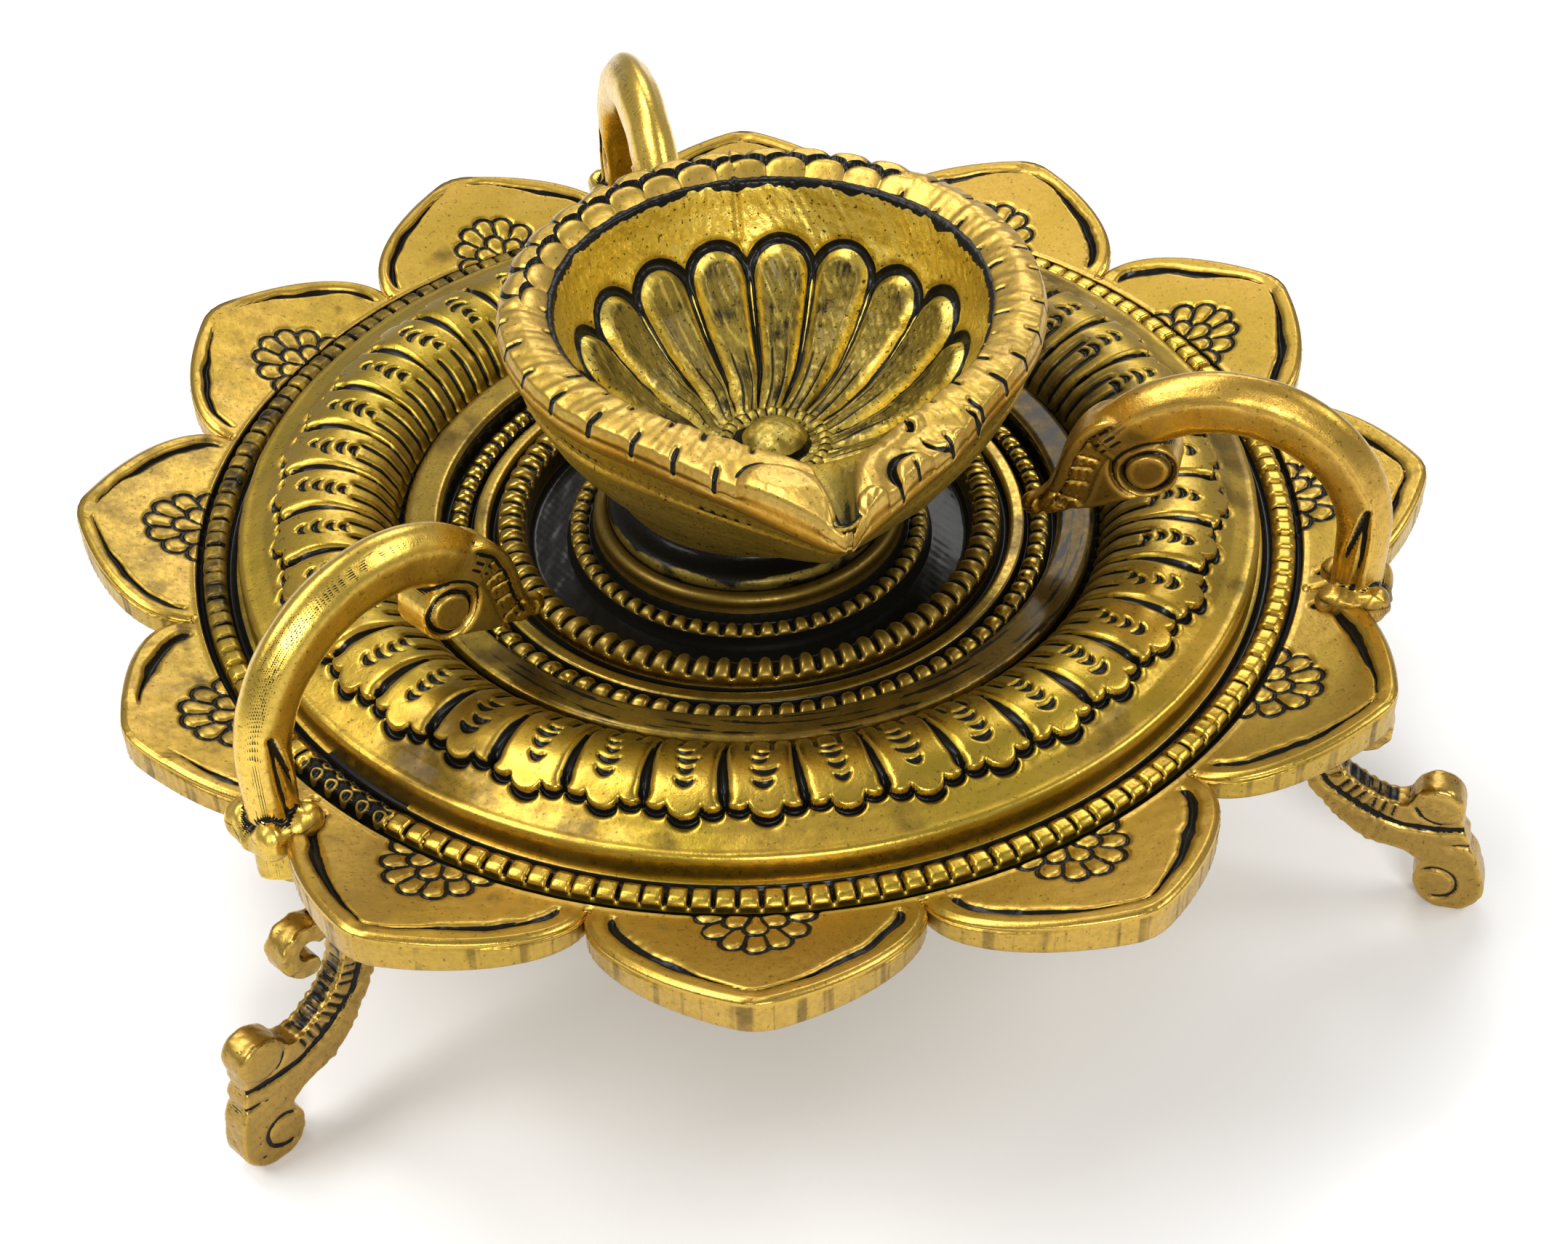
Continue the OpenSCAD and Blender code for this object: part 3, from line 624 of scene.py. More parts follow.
def rim_scales(r, psi, across, width, mid):
    """Two rows of overlapping scales, the inner over the outer: their relief, their
    outlines and how far the outer edge is scalloped."""
    pitch = radians(10.2)
    domes, rims = np.full(r.shape, -0.45), zeros(r.shape)
    for row, (place, radial, offset) in enumerate(((0.54, 2.9, 0.25), (0.22, 2.3, 0.75))):
        u = psi / pitch + offset
        cell = np.round(u)
        jog = draws(90 + row).uniform(-1, 1, 200)[cell.astype(int) + 100]
        half = pitch * mid / 2 * (1.02 + 0.04 * row)
        du = (u - cell) * pitch * r / half
        dw = across - (place + 0.02 * jog) * width
        if row == 0:
            scallop = 0.75 * abs(du) ** 4
        dw = np.where(dw > 0, dw / radial, minimum(dw + 1.2, 0) / radial)
        q = (abs(du) ** 2.6 + abs(dw) ** 2.6) ** (1 / 2.6)
        shell = (0.95 - 0.15 * row) * clip(1 - q ** 3, 0, 1) ** 0.55 - 0.45 + 0.08 * jog
        over = (q < 1.0) if row else (shell > domes)
        domes = np.where(over, shell, domes)
        rims = np.where(over & (q < 0.93), 0, rims)
        rims = maximum(rims, ridge(q - 1.0, 0.10) * (across > 0.4))
    return domes, rims, scallop


def rim_ticks(run, across, width):
    """Ticks cut in from either edge in turn."""
    lift, paint, tick = zeros(run.shape), zeros(run.shape), draws(95)
    for i, s in enumerate(linspace(-82, 82, TICKS) + tick.uniform(-0.7, 0.7, TICKS)):
        lean, deep = tick.uniform(-0.3, 0.3), tick.uniform(0.25, 0.95)
        reach = 1.0 + 2.6 * deep
        depth = across if i % 2 else width - across
        gone = ease(reach, reach * 0.6, depth) * ease(1.0, 0.7, depth / width)
        cut = ridge(run - s - lean * (depth - 1.5) ** 2 * 0.3, 0.24 + 0.18 * deep) * gone
        lift -= 0.55 * cut
        paint = maximum(paint, cut * (0.75 + 0.6 * deep))
    return lift, paint


def rim_spout(x, y):
    """The work beside the spout, which points along x: on the left a leaf, on the right
    an S-curl of a nub, a black hollow round a small leaf and sickles, between them the
    mouth of the wick's slot, open through the tip."""
    lx, ly = x - 40.4, y + 5.3
    leaf = hypot((lx * 0.69 + ly * 0.73) / 6.6, (ly * 0.69 - lx * 0.73) / 4.3)
    on_left, on_right = (y < 0.3) * 1.0, (y > 1.0) * ease(29.0, 32.0, x)
    fold = ridge(leaf - 1.03, 0.05) * ease(36.8, 35.6, x) * ease(-6.0, -8.0, y)
    nub = hypot(x - 43.2, y - 4.4)
    lip, _ = path_field([(30.5, 11.6), (33.2, 8.6), (35.6, 5.6), (38.0, 4.6), (41.5, 5.0)], x, y)
    notch = ease(2.6, 0.2, abs(y - 0.75)) * ease(42.0, 45.5, x)
    lift = on_left * (1.15 * swell(leaf) - 0.35 * ease(33.0, 36.5, x)) + (swell(nub / 2.1) - 0.45) * on_right
    lift += 0.75 * swell(hypot((x - 38.6) / 2.5, (y - 10.4) / 3.1)) + 0.55 * ease(1.9, 0.3, lip)
    lift += 0.5 * swell(hypot(x - 33.4, y - 17.0) / 1.3) - 1.5 * notch
    paint = maximum(on_left * 1.2 * fold, 0.52 * notch)
    # Sickle-shaped cuts, each thickest at the angle middle.
    for sx, sy, radius, middle, spread, thick in (
            (38.8, 10.2, 2.9, -125, 105, 0.55), (33.0, 14.0, 2.2, -20, 60, 0.34),
            (31.2, 17.6, 2.2, 80, 80, 0.36), (28.2, 20.0, 2.0, -10, 60, 0.32),
            (31.0, 9.6, 1.6, 75, 55, 0.34), (24.4, 25.6, 2.0, 20, 55, 0.3)):
        turn = degrees(np.arctan2(y - sy, x - sx)) - middle
        turn = abs((turn + 180) % 360 - 180) / spread
        cut = ridge(hypot(x - sx, y - sy) - radius, thick * (1.15 - ease(0.3, 1.0, turn)))
        cut = cut * ease(1.0, 0.85, turn)
        lift -= cut
        paint = maximum(paint, 1.3 * cut)
    return lift, paint, maximum(on_left * 0.35 * ease(0.8, 0.3, leaf), 0.5 * ease(2.0, 1.0, nub))


def bowl_rim():
    w = linspace(0, 1, 44)[:, None]
    ri, ro = inner_r[None] - 0.1, outer_r[None]
    width, mid = ro - ri, (ri + ro) / 2
    r, across = ri + width * w, w * width
    psi = PSI[None] + 0 * w
    # Distance along the rim from the spout, positive to the right.
    run = cumsum(hypot(np.gradient(mid[0]), mid[0] * np.gradient(PSI)))
    run = (run - run[np.argmin(abs(PSI))])[None] + 0 * w
    x_out, x_side = polar(r, psi)
    back = np.where(psi > 0, ease(2.30, 2.45, psi), ease(1.62, 1.78, -psi))
    flank = (1 - back) * ease(12, 15, abs(run))
    rear = ease(0.6, 2.2, abs(psi))
    crown = 0.8 * swell(2 * w - 1.02) - 0.75
    crown = crown * (1 - rear) - rear * (2.7 * clip(1 - w / 0.58, 0, 1) ** 1.5 + 0.9 * ease(0.62, 1.0, w))
    droop = -1.0 * ease(36, 46, x_out)
    domes, rims, scallop = rim_scales(r, psi, across, width, mid)
    ticks, tick_paint = rim_ticks(run, across, width)
    spout, spout_paint, spout_shine = rim_spout(x_out, x_side)
    # A dark recess along the inner edge.
    recess = ease(0.75, 0.25, across) * ease(32, 28, x_out)
    lift = back * domes + flank * (ticks + 0.12 * wobble(run, 0.3 * across, 5.5, 96)) + spout
    lift += 0.035 * wobble(run, across, 5, 98) - 0.9 * recess
    hollow = cavity(lift, 3, 5)
    paint = most(1.3 * back * rims, flank * tick_paint, spout_paint, ease(0.16, 0.34, hollow),
                 recess * (1.0 + 0.3 * wobble(run, across, 5, 97)))
    shine = most(back * ease(0.1, 0.3, domes) * 0.15, spout_shine, ease(0.1, 0.35, -hollow) * 0.5)
    z = RIM_HEIGHT - 0.35 + crown + droop + lift - 1.3 * ease(0.90, 1.0, w) ** 2
    z = minimum(z, RIM_HEIGHT - 0.02)
    scallop = scallop * back
    rows_r, rows_z = [r - scallop * ease(0.75, 1.0, w)], [z]
    edge_rows = ((0.2, 0.5), (0.02, 1.1), (0.0, 1.8), (0.1, 2.5), (0.55, 3.2), (1.6, 3.9))
    for i, (push, drop) in enumerate(edge_rows):
        rows_r.append(ro - push - scallop[-1:] * (1 - 0.17 * i))
        rows_z.append(minimum(z[-1:] - 0.12 * (i + 1), RIM_HEIGHT - 1.75 - drop + droop[-1:]))
    under_z = rows_z[-1] - 0.3
    rows_r += [minimum(ri + 2.0, ro - 1.7), minimum(ri + 0.3, ro - 1.8), minimum(ri, ro - 1.9)]
    rows_z += [under_z, under_z, minimum(z[:1] - 0.8, under_z + 2.5)]
    rr, zz = concatenate(rows_r), concatenate(rows_z)
    pad = lambda g, value: concatenate([g, np.full((len(rr) - len(w), BOWL_COLUMNS), value)])
    marks = (pad(paint, 0.05), pad(shine, 0.3), pad(0.12 + 0.2 * wobble(run, across, 16, 99), 0.2))
    add_grid("bowl_rim", cup_points(rr, zz), marks, rim, ["diya_bowl"])


def cup_outside(psi, z):
    """Turning lines, casting skin and two rows of punched dots with thin lines."""
    low = window(z, 6.5, 33, 0.5)
    lift = 0.09 * low * (wobble(z * 3.1, psi * 0.8, 2.6, 110) + 0.6 * wobble(z * 9, psi, 2.2, 111))
    scratches = ease(0.55, 1.0, wobble(z * 6, psi * 1.5, 2.4, 112)) * ease(0, 0.6, wobble(psi * 9, z, 6, 113))
    paint = 0.75 * low * scratches + window(z, 3.6, 5.6, 0.3) + 0.9 * ridge(z - 1.0, 0.3)
    # The foot's flange is painted part black, as shade under the bowl.
    paint += window(z, 0.8, 3.6, 0.2) * (0.50 + 0.12 * wobble(8 * psi, 2 * z, 5, 125))
    for up, count in ((26.2, 150), (22.6, 135)):
        dots = ridge(z - up, 0.42) * ease(0.0, 0.8, cos(count * psi)) + 0.7 * ridge(z - up + 1.5, 0.28)
        lift -= 0.16 * dots
        paint += 0.62 * dots
    # The foot is painted brown, as shade under the bowl, and the lower wall browns towards the bottom.
    return lift, paint, 0 * z, low * (0.25 + 0.3 * ease(24, 8, z)) + 1.1 * window(z, 0, 5.5, 1)


def cup_inside(psi, z, r, r0, length):
    """Flutes with round tops under a plain wall; r0 is the radius before the spout's
    stretch and length the way down the profile."""
    drop_in = RIM_HEIGHT - z
    u = (psi - radians(167)) / TAU * FLUTES
    cell = np.round(u)
    du = (u - cell) * TAU / FLUTES * r0
    half = 0.42 * TAU / FLUTES * r0
    cap = 18.1 + 0.8 * draws(114).uniform(-1, 1, 40)[cell.astype(int) + 20]
    strong = draws(116).uniform(0.75, 1.2, 40)[cell.astype(int) + 20]
    d = np.where(length < cap, half - hypot(du, (cap - length) * 0.95), half - abs(du))
    live = (r0 < 26.5) * ease(0.97, 0.86, cos(psi))
    flute = ease(-0.2, 1.3, d) * live
    # The black arch round each flute's top is patina in the cut, painted thicker at the top as shadow.
    arch_top = ease(cap + 1.5, cap - 1.5, length)
    line = ridge(d + 0.28 + 0.42 * arch_top, 0.34 + 0.42 * arch_top) * live * ease(6.5, 10, r0)
    lift = 0.95 * flute * ease(8.0, 12, r0) - 0.7 * line
    paint = most(line * (0.85 + 0.4 * arch_top) * strong,
                 flute * (0.465 + 0.04 * wobble(r0 * du, z, 9, 124)) * (r0 > 9))
    # Each flute splits low down, where thin pairs of lines run on to the boss.
    for place in (-0.42, 0.42):
        low_cut = ridge(du - place * half, 0.16) * live * window(r0, 7.4, 15.5, 2)
        lift -= 0.3 * low_cut
        paint = maximum(paint, 0.75 * low_cut)
    x, y = polar(r0, psi)
    grit = wobble(x + 0.7 * z, y + 0.4 * z, 1.3, 115, 4)
    wall = window(drop_in, 3.0, 13.0, 1.5) * (1 - flute)
    # A pale casting seam down the back wall, and the recess under the rim.
    off_seam = (abs(psi) - np.pi) * r0
    seam = ridge(off_seam, 1.5) * window(drop_in, 3.5, 10.5, 1.5)
    lift += 0.035 * grit + 0.05 * wall * wobble(x, y + z, 5, 117)
    lift += 0.25 * ridge(off_seam, 0.5) * window(drop_in, 1.5, 9, 1)
    # The plain upper wall is painted lighter and less brown, as light falling on it.
    shine = maximum(0.8 * ease(0.55, 0.8, grit) + 0.35 * wall, 0.9 * seam)
    black_to = 2.3 + 0.35 * ease(0.6, 2.2, abs(psi)) + 0.4 * wobble(x, y, 5, 119, 4)
    in_slot = ease(29.0, 32.0, r) * ease(9.0, 5.0, drop_in)
    paint = most(paint, ease(0.4, -0.5, drop_in - black_to),
                 in_slot * (0.42 + 0.2 * wobble(x, y + z, 3, 123)))
    brown = (0.02 + flute * (0.50 + 0.45 * window(r0, 15, 23, 4)) + 0.55 * ease(16, 9, r0)
             + 0.3 * ease(0.2, 1.0, wobble(x, y + z, 8, 118)) * (1 - wall)) * (1 - 0.8 * seam)
    brown += 0.7 * in_slot + 0.3 * ease(26, 29, r) * window(drop_in, 3, 8, 0.5)
    return lift, paint, shine, brown


def bowl_body():
    outside = [(6.5, 1.0), (17.3, 1.0), *arc(17.5, 2.3, 1.3, -90, 80, 12), (16.9, 3.7), (15.6, 4.3),
               (15.1, 5.0), (15.3, 5.7), (17.4, 6.3), (21.6, 9.2), (26.2, 13.6), (30.2, 19.2), (33.0, 25),
               (34.3, 30), (34.35, 31.5)]
    inside = [(33.2, 32.0), (29.5, 32.2), (28.4, 32.4), (27.9, 32.3), (27.5, 31.2), (27.0, 29.2),
              (25.9, 26.0), (24.2, 22.4), (21.6, 18.6), (18.6, 15.2), (15.2, 12.4), (11.4, 10.4),
              (8.2, 9.6), (5.4, 9.3)]
    q1, q2 = along(outside, 0.45), along(inside, 0.22)
    n = len(q1)
    q = concatenate([q1, q2])
    r0, z = (np.repeat(q[:, i:i + 1], BOWL_COLUMNS, 1) for i in (0, 1))
    psi = PSI[None] + 0 * z
    # The spout stretches both skins, more so towards the rim.
    r = concatenate([r0[:n] + EXT_O * clip((z[:n] - 5.5) / 23.3, 0, 1.0) ** 1.15 - 0.35 * (z[:n] > 25),
                     minimum(r0[n:] + EXT_I * ease(9.5, 3.2, RIM_HEIGHT - z[n:]) - 0.25, outer_r - 0.9)])
    length = cumsum(np.r_[0, hypot(*np.diff(q2, axis=0).T)])[:, None]
    outer, inner = cup_outside(psi[:n], z[:n]), cup_inside(psi[n:], z[n:], r[n:], r0[n:], length)
    lift, paint, shine, brown = (concatenate(pair) for pair in zip(outer, inner))
    # Push along the profile's normal.
    t = np.gradient(q, axis=0)
    t[n - 1], t[n] = t[n - 2], t[n + 1]
    t /= maximum(hypot(*t.T), 1e-6)[:, None]
    hollow = cavity(lift, 4, 4)
    paint[n:] = maximum(paint[n:], ease(0.18, 0.45, hollow[n:]))
    shine = maximum(shine, ease(0.15, 0.45, -hollow) * 0.5)
    points = cup_points(r + t[:, 1:] * lift, z - t[:, :1] * lift)
    add_grid("bowl_body", points, (paint, shine * (1 - clip(paint, 0, 1)), brown), well, ["diya_bowl"])


def bowl_boss():
    columns = 280
    profile = along([(0.06, 12.4), (1.9, 12.1), (3.4, 11.4), (4.3, 10.4), (4.7, 9.4), (5.5, 9.1), (6.0, 9.7),
                     (6.7, 10.0), (7.4, 9.8), (7.9, 9.4), (7.9, 8.0), (0.06, 7.8)], 0.14)
    th = arange(columns) * TAU / columns
    r, a = np.meshgrid(profile[:, 0], th, indexing="ij")
    z = np.repeat(profile[:, 1:], columns, 1)
    _, u = cells(a, 30, 0.1, 120)
    on = window(r, 5.9, 7.5, 0.3) * (z > 9)
    x, y = polar(r, a)
    z = z + on * (0.3 * (1 - u ** 2) - 0.25) + 0.06 * wobble(x, y, 2.5, 121)
    paint = maximum(window(r, 4.4, 5.6, 0.2), on * ease(0.65, 0.9, abs(u)))
    shine = 0.3 * (r < 2.6)
    brown = 0.65 + 0.2 * wobble(x, y, 4, 122)
    points = stack([x + CUP[0], y + CUP[1], TOP + z], -1)
    add_grid("bowl_boss", points, (paint, shine, brown), well, ["diya_bowl"])


bowl_rim()
bowl_body()
bowl_boss()


# ------------------------------------------------ solids from distance fields
VOXEL = 0.2


def surface_net(f, origin):
    """Vertices and quads of the zero surface of the field f, negative inside."""
    s = f < 0
    corners = np.array(list(np.ndindex(2, 2, 2)))
    nx, ny, nz = np.array(s.shape) - 1
    count = sum(s[i:i + nx, j:j + ny, k:k + nz].astype(np.int8) for i, j, k in corners)
    active = (count > 0) & (count < 8)
    cells_at = np.argwhere(active)
    number = np.full(active.shape, -1)
    number[active] = arange(len(cells_at))
    total, hits = zeros((len(cells_at), 3)), zeros(len(cells_at))
    for a in corners:
        for axis in range(3):
            if a[axis]:
                continue
            b = a.copy()
            b[axis] = 1
            fa, fb = f[tuple((cells_at + a).T)], f[tuple((cells_at + b).T)]
            cross = (fa < 0) != (fb < 0)
            t = np.where(cross, fa / np.where(cross, fa - fb, 1), 0)
            total[cross] += (a + t[:, None] * (b - a))[cross]
            hits[cross] += 1
    verts = np.array(origin) + VOXEL * (cells_at + total / hits[:, None])
    quads = []
    for axis in range(3):
        one, two = [k for k in range(3) if k != axis]
        e = np.argwhere(np.diff(s, axis=axis))
        inside = [(e[:, k] > 0) & (e[:, k] < s.shape[k] - 1) for k in (one, two)]
        e = e[inside[0] & inside[1]]
        step_one, step_two = np.eye(3, dtype=int)[one], np.eye(3, dtype=int)[two]
        q = stack([number[tuple((e - step_one - step_two).T)], number[tuple((e - step_two).T)],
                      number[tuple(e.T)], number[tuple((e - step_one).T)]], 1)
        flip = s[tuple(e.T)] ^ (axis == 1)
        q[flip] = q[flip][:, ::-1]
        quads.append(q)
    quads = concatenate(quads)
    # Three rounds of easing take out the steps of the voxels.
    start, end = quads.ravel(), np.roll(quads, -1, 1).ravel()
    share = maximum(np.bincount(start, minlength=len(verts)), 1)
    for _ in range(3):
        mean = stack([np.bincount(start, verts[end, i], len(verts)) for i in range(3)], 1) / share[:, None]
        verts = 0.4 * verts + 0.6 * mean
    return verts, quads, cells_at


def hollowness(f, cells_at):
    """How far the metal round each vertex closes in: above 0.5 in a cut."""
    g = (f < 0).astype(np.float32)
    for axis in range(3):
        g = mean_over(g, 4, axis, "constant")
    return g[tuple(cells_at.T)]


def skin_of(solid, s, t, z):
    """The skin of a field on a lattice: vertices, quads, hollowness and side view places."""
    verts, quads, cells_at = surface_net(solid, (s[0, 0, 0], t[0, 0, 0], z[0, 0, 0]))
    return verts, quads, hollowness(solid, cells_at), tuple(cells_at[:, (0, 2)].T)


def outline_field(points, x, y):
    """Signed distance to a closed outline, negative inside."""
    d, inside = np.full(x.shape, 1e3), zeros(x.shape, bool)
    p = np.array(points, float)
    for a, b in zip(p, np.roll(p, -1, 0)):
        d = minimum(d, to_segment(a, b, x, y)[0])
        (ax, ay), (bx, by) = a, b
        if ay != by:
            inside ^= ((ay > y) != (by > y)) & (x < (bx - ax) * (y - ay) / (by - ay) + ax)
    return np.where(inside, -d, d)


def rounded(points):
    """Cuts the corners of a closed outline, twice over."""
    p = np.array(points, float)
    for _ in range(2):
        n = np.roll(p, -1, 0)
        p = stack([0.75 * p + 0.25 * n, 0.25 * p + 0.75 * n], 1).reshape(-1, 2)
    return p


def smooth_max(a, b, k):
    h = clip(0.5 - 0.5 * (b - a) / k, 0, 1)
    return b + (a - b) * h + k * h * (1 - h)


def smooth_min(a, b, k):
    return -smooth_max(-a, -b, k)


def lattice(low, high):
    """Coordinate arrays of a box of voxels: out, sideways and up."""
    axes = [arange(a, b, VOXEL) for a, b in zip(low, high)]
    return (axes[0][:, None, None], axes[1][None, :, None], axes[2][None, None, :])


def add_copies(part, solid, kinds):
    """Copies of a solid, built in a station's plane, to the three stations: for each
    copy, how far it leans out, how much browner it is painted as shade, and its material."""
    verts, quads, paint, wear_and_sheen, tone_and_shade = solid
    for (side, station), (lean, shade_tone, material) in zip(STATIONS.items(), kinds):
        out = verts[:, 0] + lean * (TOP - verts[:, 2]) / TOP
        v = stack([*turned(out, verts[:, 1], station), verts[:, 2]], 1)
        add_piece(f"{part}_body_{side}", v, quads, (paint, wear_and_sheen, tone_and_shade + shade_tone), material, [f"{part}_{side}"])


# -------------------------------------------------------------------- handles
ARCH, ARCH_R = (62.3, 10.2), 17.6
STEM = ARCH[0] + ARCH_R
EYE, BEAK = (52.2, 17.0), (38.0, 7.9)
HEAD = [(46.6, 24.4), (43.6, 21.8), (41.6, 17.6), (40.8, 13.6), (39.6, 10.6), (37.6, 8.8), (38.2, 7.0),
        (40.8, 7.6), (43.4, 9.3), (46.6, 10.2), (48.8, 11.4), (51.0, 12.3), (54.2, 13.2), (56.6, 16.2),
        (56.2, 20.4), (52.6, 22.6), (50.0, 23.6)]
NAPE = [(50.5, 27.9), (46.4, 24.6), (43.4, 21.8), (41.5, 17.6), (40.6, 13.6), (39.3, 10.4), (38.0, 8.2)]


def handle_solid():
    s, t, z = lattice((34.5, -6.2, -6.6), (86.0, 6.3, 33.2))
    (s2, z2), side = np.broadcast_arrays(s[:, 0], z[:, 0]), abs(t)
    rho, phi = hypot(s2 - ARCH[0], z2 - ARCH[1]), degrees(np.arctan2(z2 - ARCH[1], s2 - ARCH[0]))
    phi = np.where(phi < -60, phi + 360, phi)
    stem = (z2 < ARCH[1]) & (s2 > ARCH[0])
    off = np.where(stem, s2 - STEM, rho - ARCH_R)
    run = np.where(stem, z2 - ARCH[1], radians(phi) * ARCH_R)
    deep = 3.25 + 0.75 * ease(-8, 22, run) - 0.3 * ease(35, 48, run)
    end = np.where(stem, -9.0, radians(phi - 150) * ARCH_R)
    neck2 = maximum(abs(off) - deep, end)[:, None]
    wide = 3.1 + 0.05 * wobble(run * 1.0, off, 9, 130)[:, None]
    off3, deep3 = off[:, None], deep[:, None]
    bevel = np.where(off3 > 0, 2.3, 1.5)
    neck = smooth_max(neck2, side - wide, 0.5)
    neck = smooth_max(neck, (abs(off3) + side - (deep3 + wide - bevel)) * 0.7071, 0.8)
    # The leaf-shaped recess low on each side.
    d1, p1 = path_field([(79.9, 15.4), (78.4, 9.5), (77.5, 5.0)], s2, z2)
    d2, p2 = path_field([(79.9, 15.4), (79.9, 8.0), (79.3, 1.4)], s2, z2)
    vee = maximum(ridge(d1, 0.42) * ease(11, 6, p1), ridge(d2, 0.34))
    leaf = ease(-0.4, 0.4, -outline_field([(79.9, 15.4), (78.2, 9.0), (77.4, 5.0), (78.0, 1.6), (79.5, 1.6)],
                                          s2, z2))
    neck = neck + (0.75 * vee + 0.3 * leaf)[:, None] * ease(1.8, 2.8, side)
    # The head, with a feathered nape and a ringed eye.
    head2 = outline_field(rounded(HEAD), s2, z2)
    q, p = path_field(NAPE, s2, z2)
    band = window(q, 1.7, 4.3, 0.3) * window(p, 5.5, 21.0, 1.0)
    rows = ridge((p + 0.25 * q) % 2.4 - 1.2, 0.22)
    bars = ridge((q - 1.4) % 0.95 - 0.47, 0.22) * ease(0.2, 0.5, abs((p + 0.25 * q) % 2.4 - 1.2))
    dx, dz = s2 - EYE[0], z2 - EYE[1]
    eye = hypot(dx, dz)
    eye = eye / (1 + 0.40 * clip((dx * 0.8 + dz * 0.6) / maximum(eye, 0.1), 0, 1) ** 2)
    thick = 2.55 + 0.25 * ease(1.9, 1.2, q) - 0.35 * band - band * (0.5 * rows + 0.38 * bars)
    thick = thick - 0.55 * ridge(q - 4.75, 0.36) * window(p, 4.5, 19.0, 1.5)
    eye = eye / 1.12
    ring_eye = 0.5 * ridge(eye - 3.05, 0.36) - 0.6 * ridge(eye - 2.45, 0.26) + 0.5 * ease(2.2, 1.95, eye)
    thick = thick + ring_eye * ease(3.9, 3.6, eye) - 0.6 * ridge(eye - 3.7, 0.30) * (dx < 3)
    thick = thick - 0.9 * ease(43.5, 39, s2) - 0.5 * ridge(hypot(s2 - 41.0, z2 - 9.2) - 2.2, 0.35) * (s2 < 42)
    head = smooth_max(head2[:, None], side - thick[:, None], 0.7)
    solid = smooth_min(neck, head, 0.35)
    ball = sqrt((s - BEAK[0]) ** 2 + t ** 2 + (z - BEAK[1]) ** 2) - 1.5
    solid = smooth_min(solid, ball, 0.3)
    # Lumps of the base over the two petals, a seam under the stem, and the tang.
    solid = solid + 0.5 * ridge(z - 1.9 - 0.1 * (s - STEM), 0.28) * (s > 70)
    base = np.full(solid.shape, 9.0)
    for out, across, up, a, b, c in ((78.4, 2.9, 0.9, 3.4, 2.3, 2.4), (82.2, 2.6, 1.0, 2.3, 2.3, 2.7),
                                     (80.6, 0.0, 0.0, 4.0, 2.8, 2.3)):
        d = sqrt(((s - out) / a) ** 2 + ((side - across) / b) ** 2 + ((z - up) / c) ** 2)
        base = smooth_min(base, (d - 1) * min(a, b, c), 0.9)
    lumpy = 0.12 * wobble(s + 0.4 * z, 1.1 * t + 0.7 * z, 4.2, 132)
    solid = smooth_min(solid, base + lumpy, 0.5)
    solid = minimum(solid, most(abs(s - 77.6) - 2.3, side - 2.45, -5.75 - z, z))
    verts, quads, hollow, at = skin_of(solid, s, t, z)
    flank = ease(1.9, 2.4, abs(verts[:, 1]))
    ring_cut = maximum(ridge(eye - 2.45, 0.24), ridge(eye - 3.7, 0.3) * (dx < 3)) * ease(4.3, 4.0, eye)
    cuts = most(1.1 * vee * ease(15, 4, minimum(p1, p2)), band * maximum(0.6 * rows, 1.1 * bars),
                0.85 * ring_cut)
    paint = most(ease(0.56, 0.70, hollow), flank * cuts[at],
                 ridge(verts[:, 2] - 1.8, 0.3) * (verts[:, 0] > 75) * 0.55)
    headed = ease(1.0, -0.6, head2[at])
    tone_and_shade = 0.12 + 0.42 * headed * flank + 0.4 * ease(3.5, 1.0, verts[:, 2]) * (verts[:, 0] > 70)
    wear_and_sheen = maximum(ease(0.47, 0.36, hollow), 0.5 * ridge((off / deep)[at] - 0.72, 0.2) * (1 - headed))
    return verts + (0, 0, TOP), quads, paint, wear_and_sheen * (1 - clip(paint, 0, 1)), tone_and_shade


# ----------------------------------------------------------------------- legs
BLADE = [(69.6, 46.6), (69.4, 38), (69.8, 32), (70.6, 27.4), (73.2, 21.2), (77.6, 14.8), (82.6, 10.3),
         (84.2, 10.4), (89, 9.4), (93, 3.4), (98.6, 5), (98.0, 9.4), (97.0, 11.2), (96.7, 12.6), (96.2, 14),
         (95.6, 17), (92, 21.4), (89.4, 19.4), (87.4, 17.9), (83.8, 19), (79.8, 22), (77.6, 25.6), (77.2, 30),
         (78.6, 33), (78.4, 36.5), (76.4, 40.2), (74.1, 42.6), (74.1, 46.6)]
CREST = [(77.0, 33.0), (77.0, 30), (77.5, 25.8), (79.7, 22.1), (83.7, 19.0), (87.2, 18.0), (89.4, 17.0)]
KNOB, FOOT, HOOK = (92.2, 18.5), (94.0, 4.55), (81.5, 31.0)
LEG_HALF = 2.1


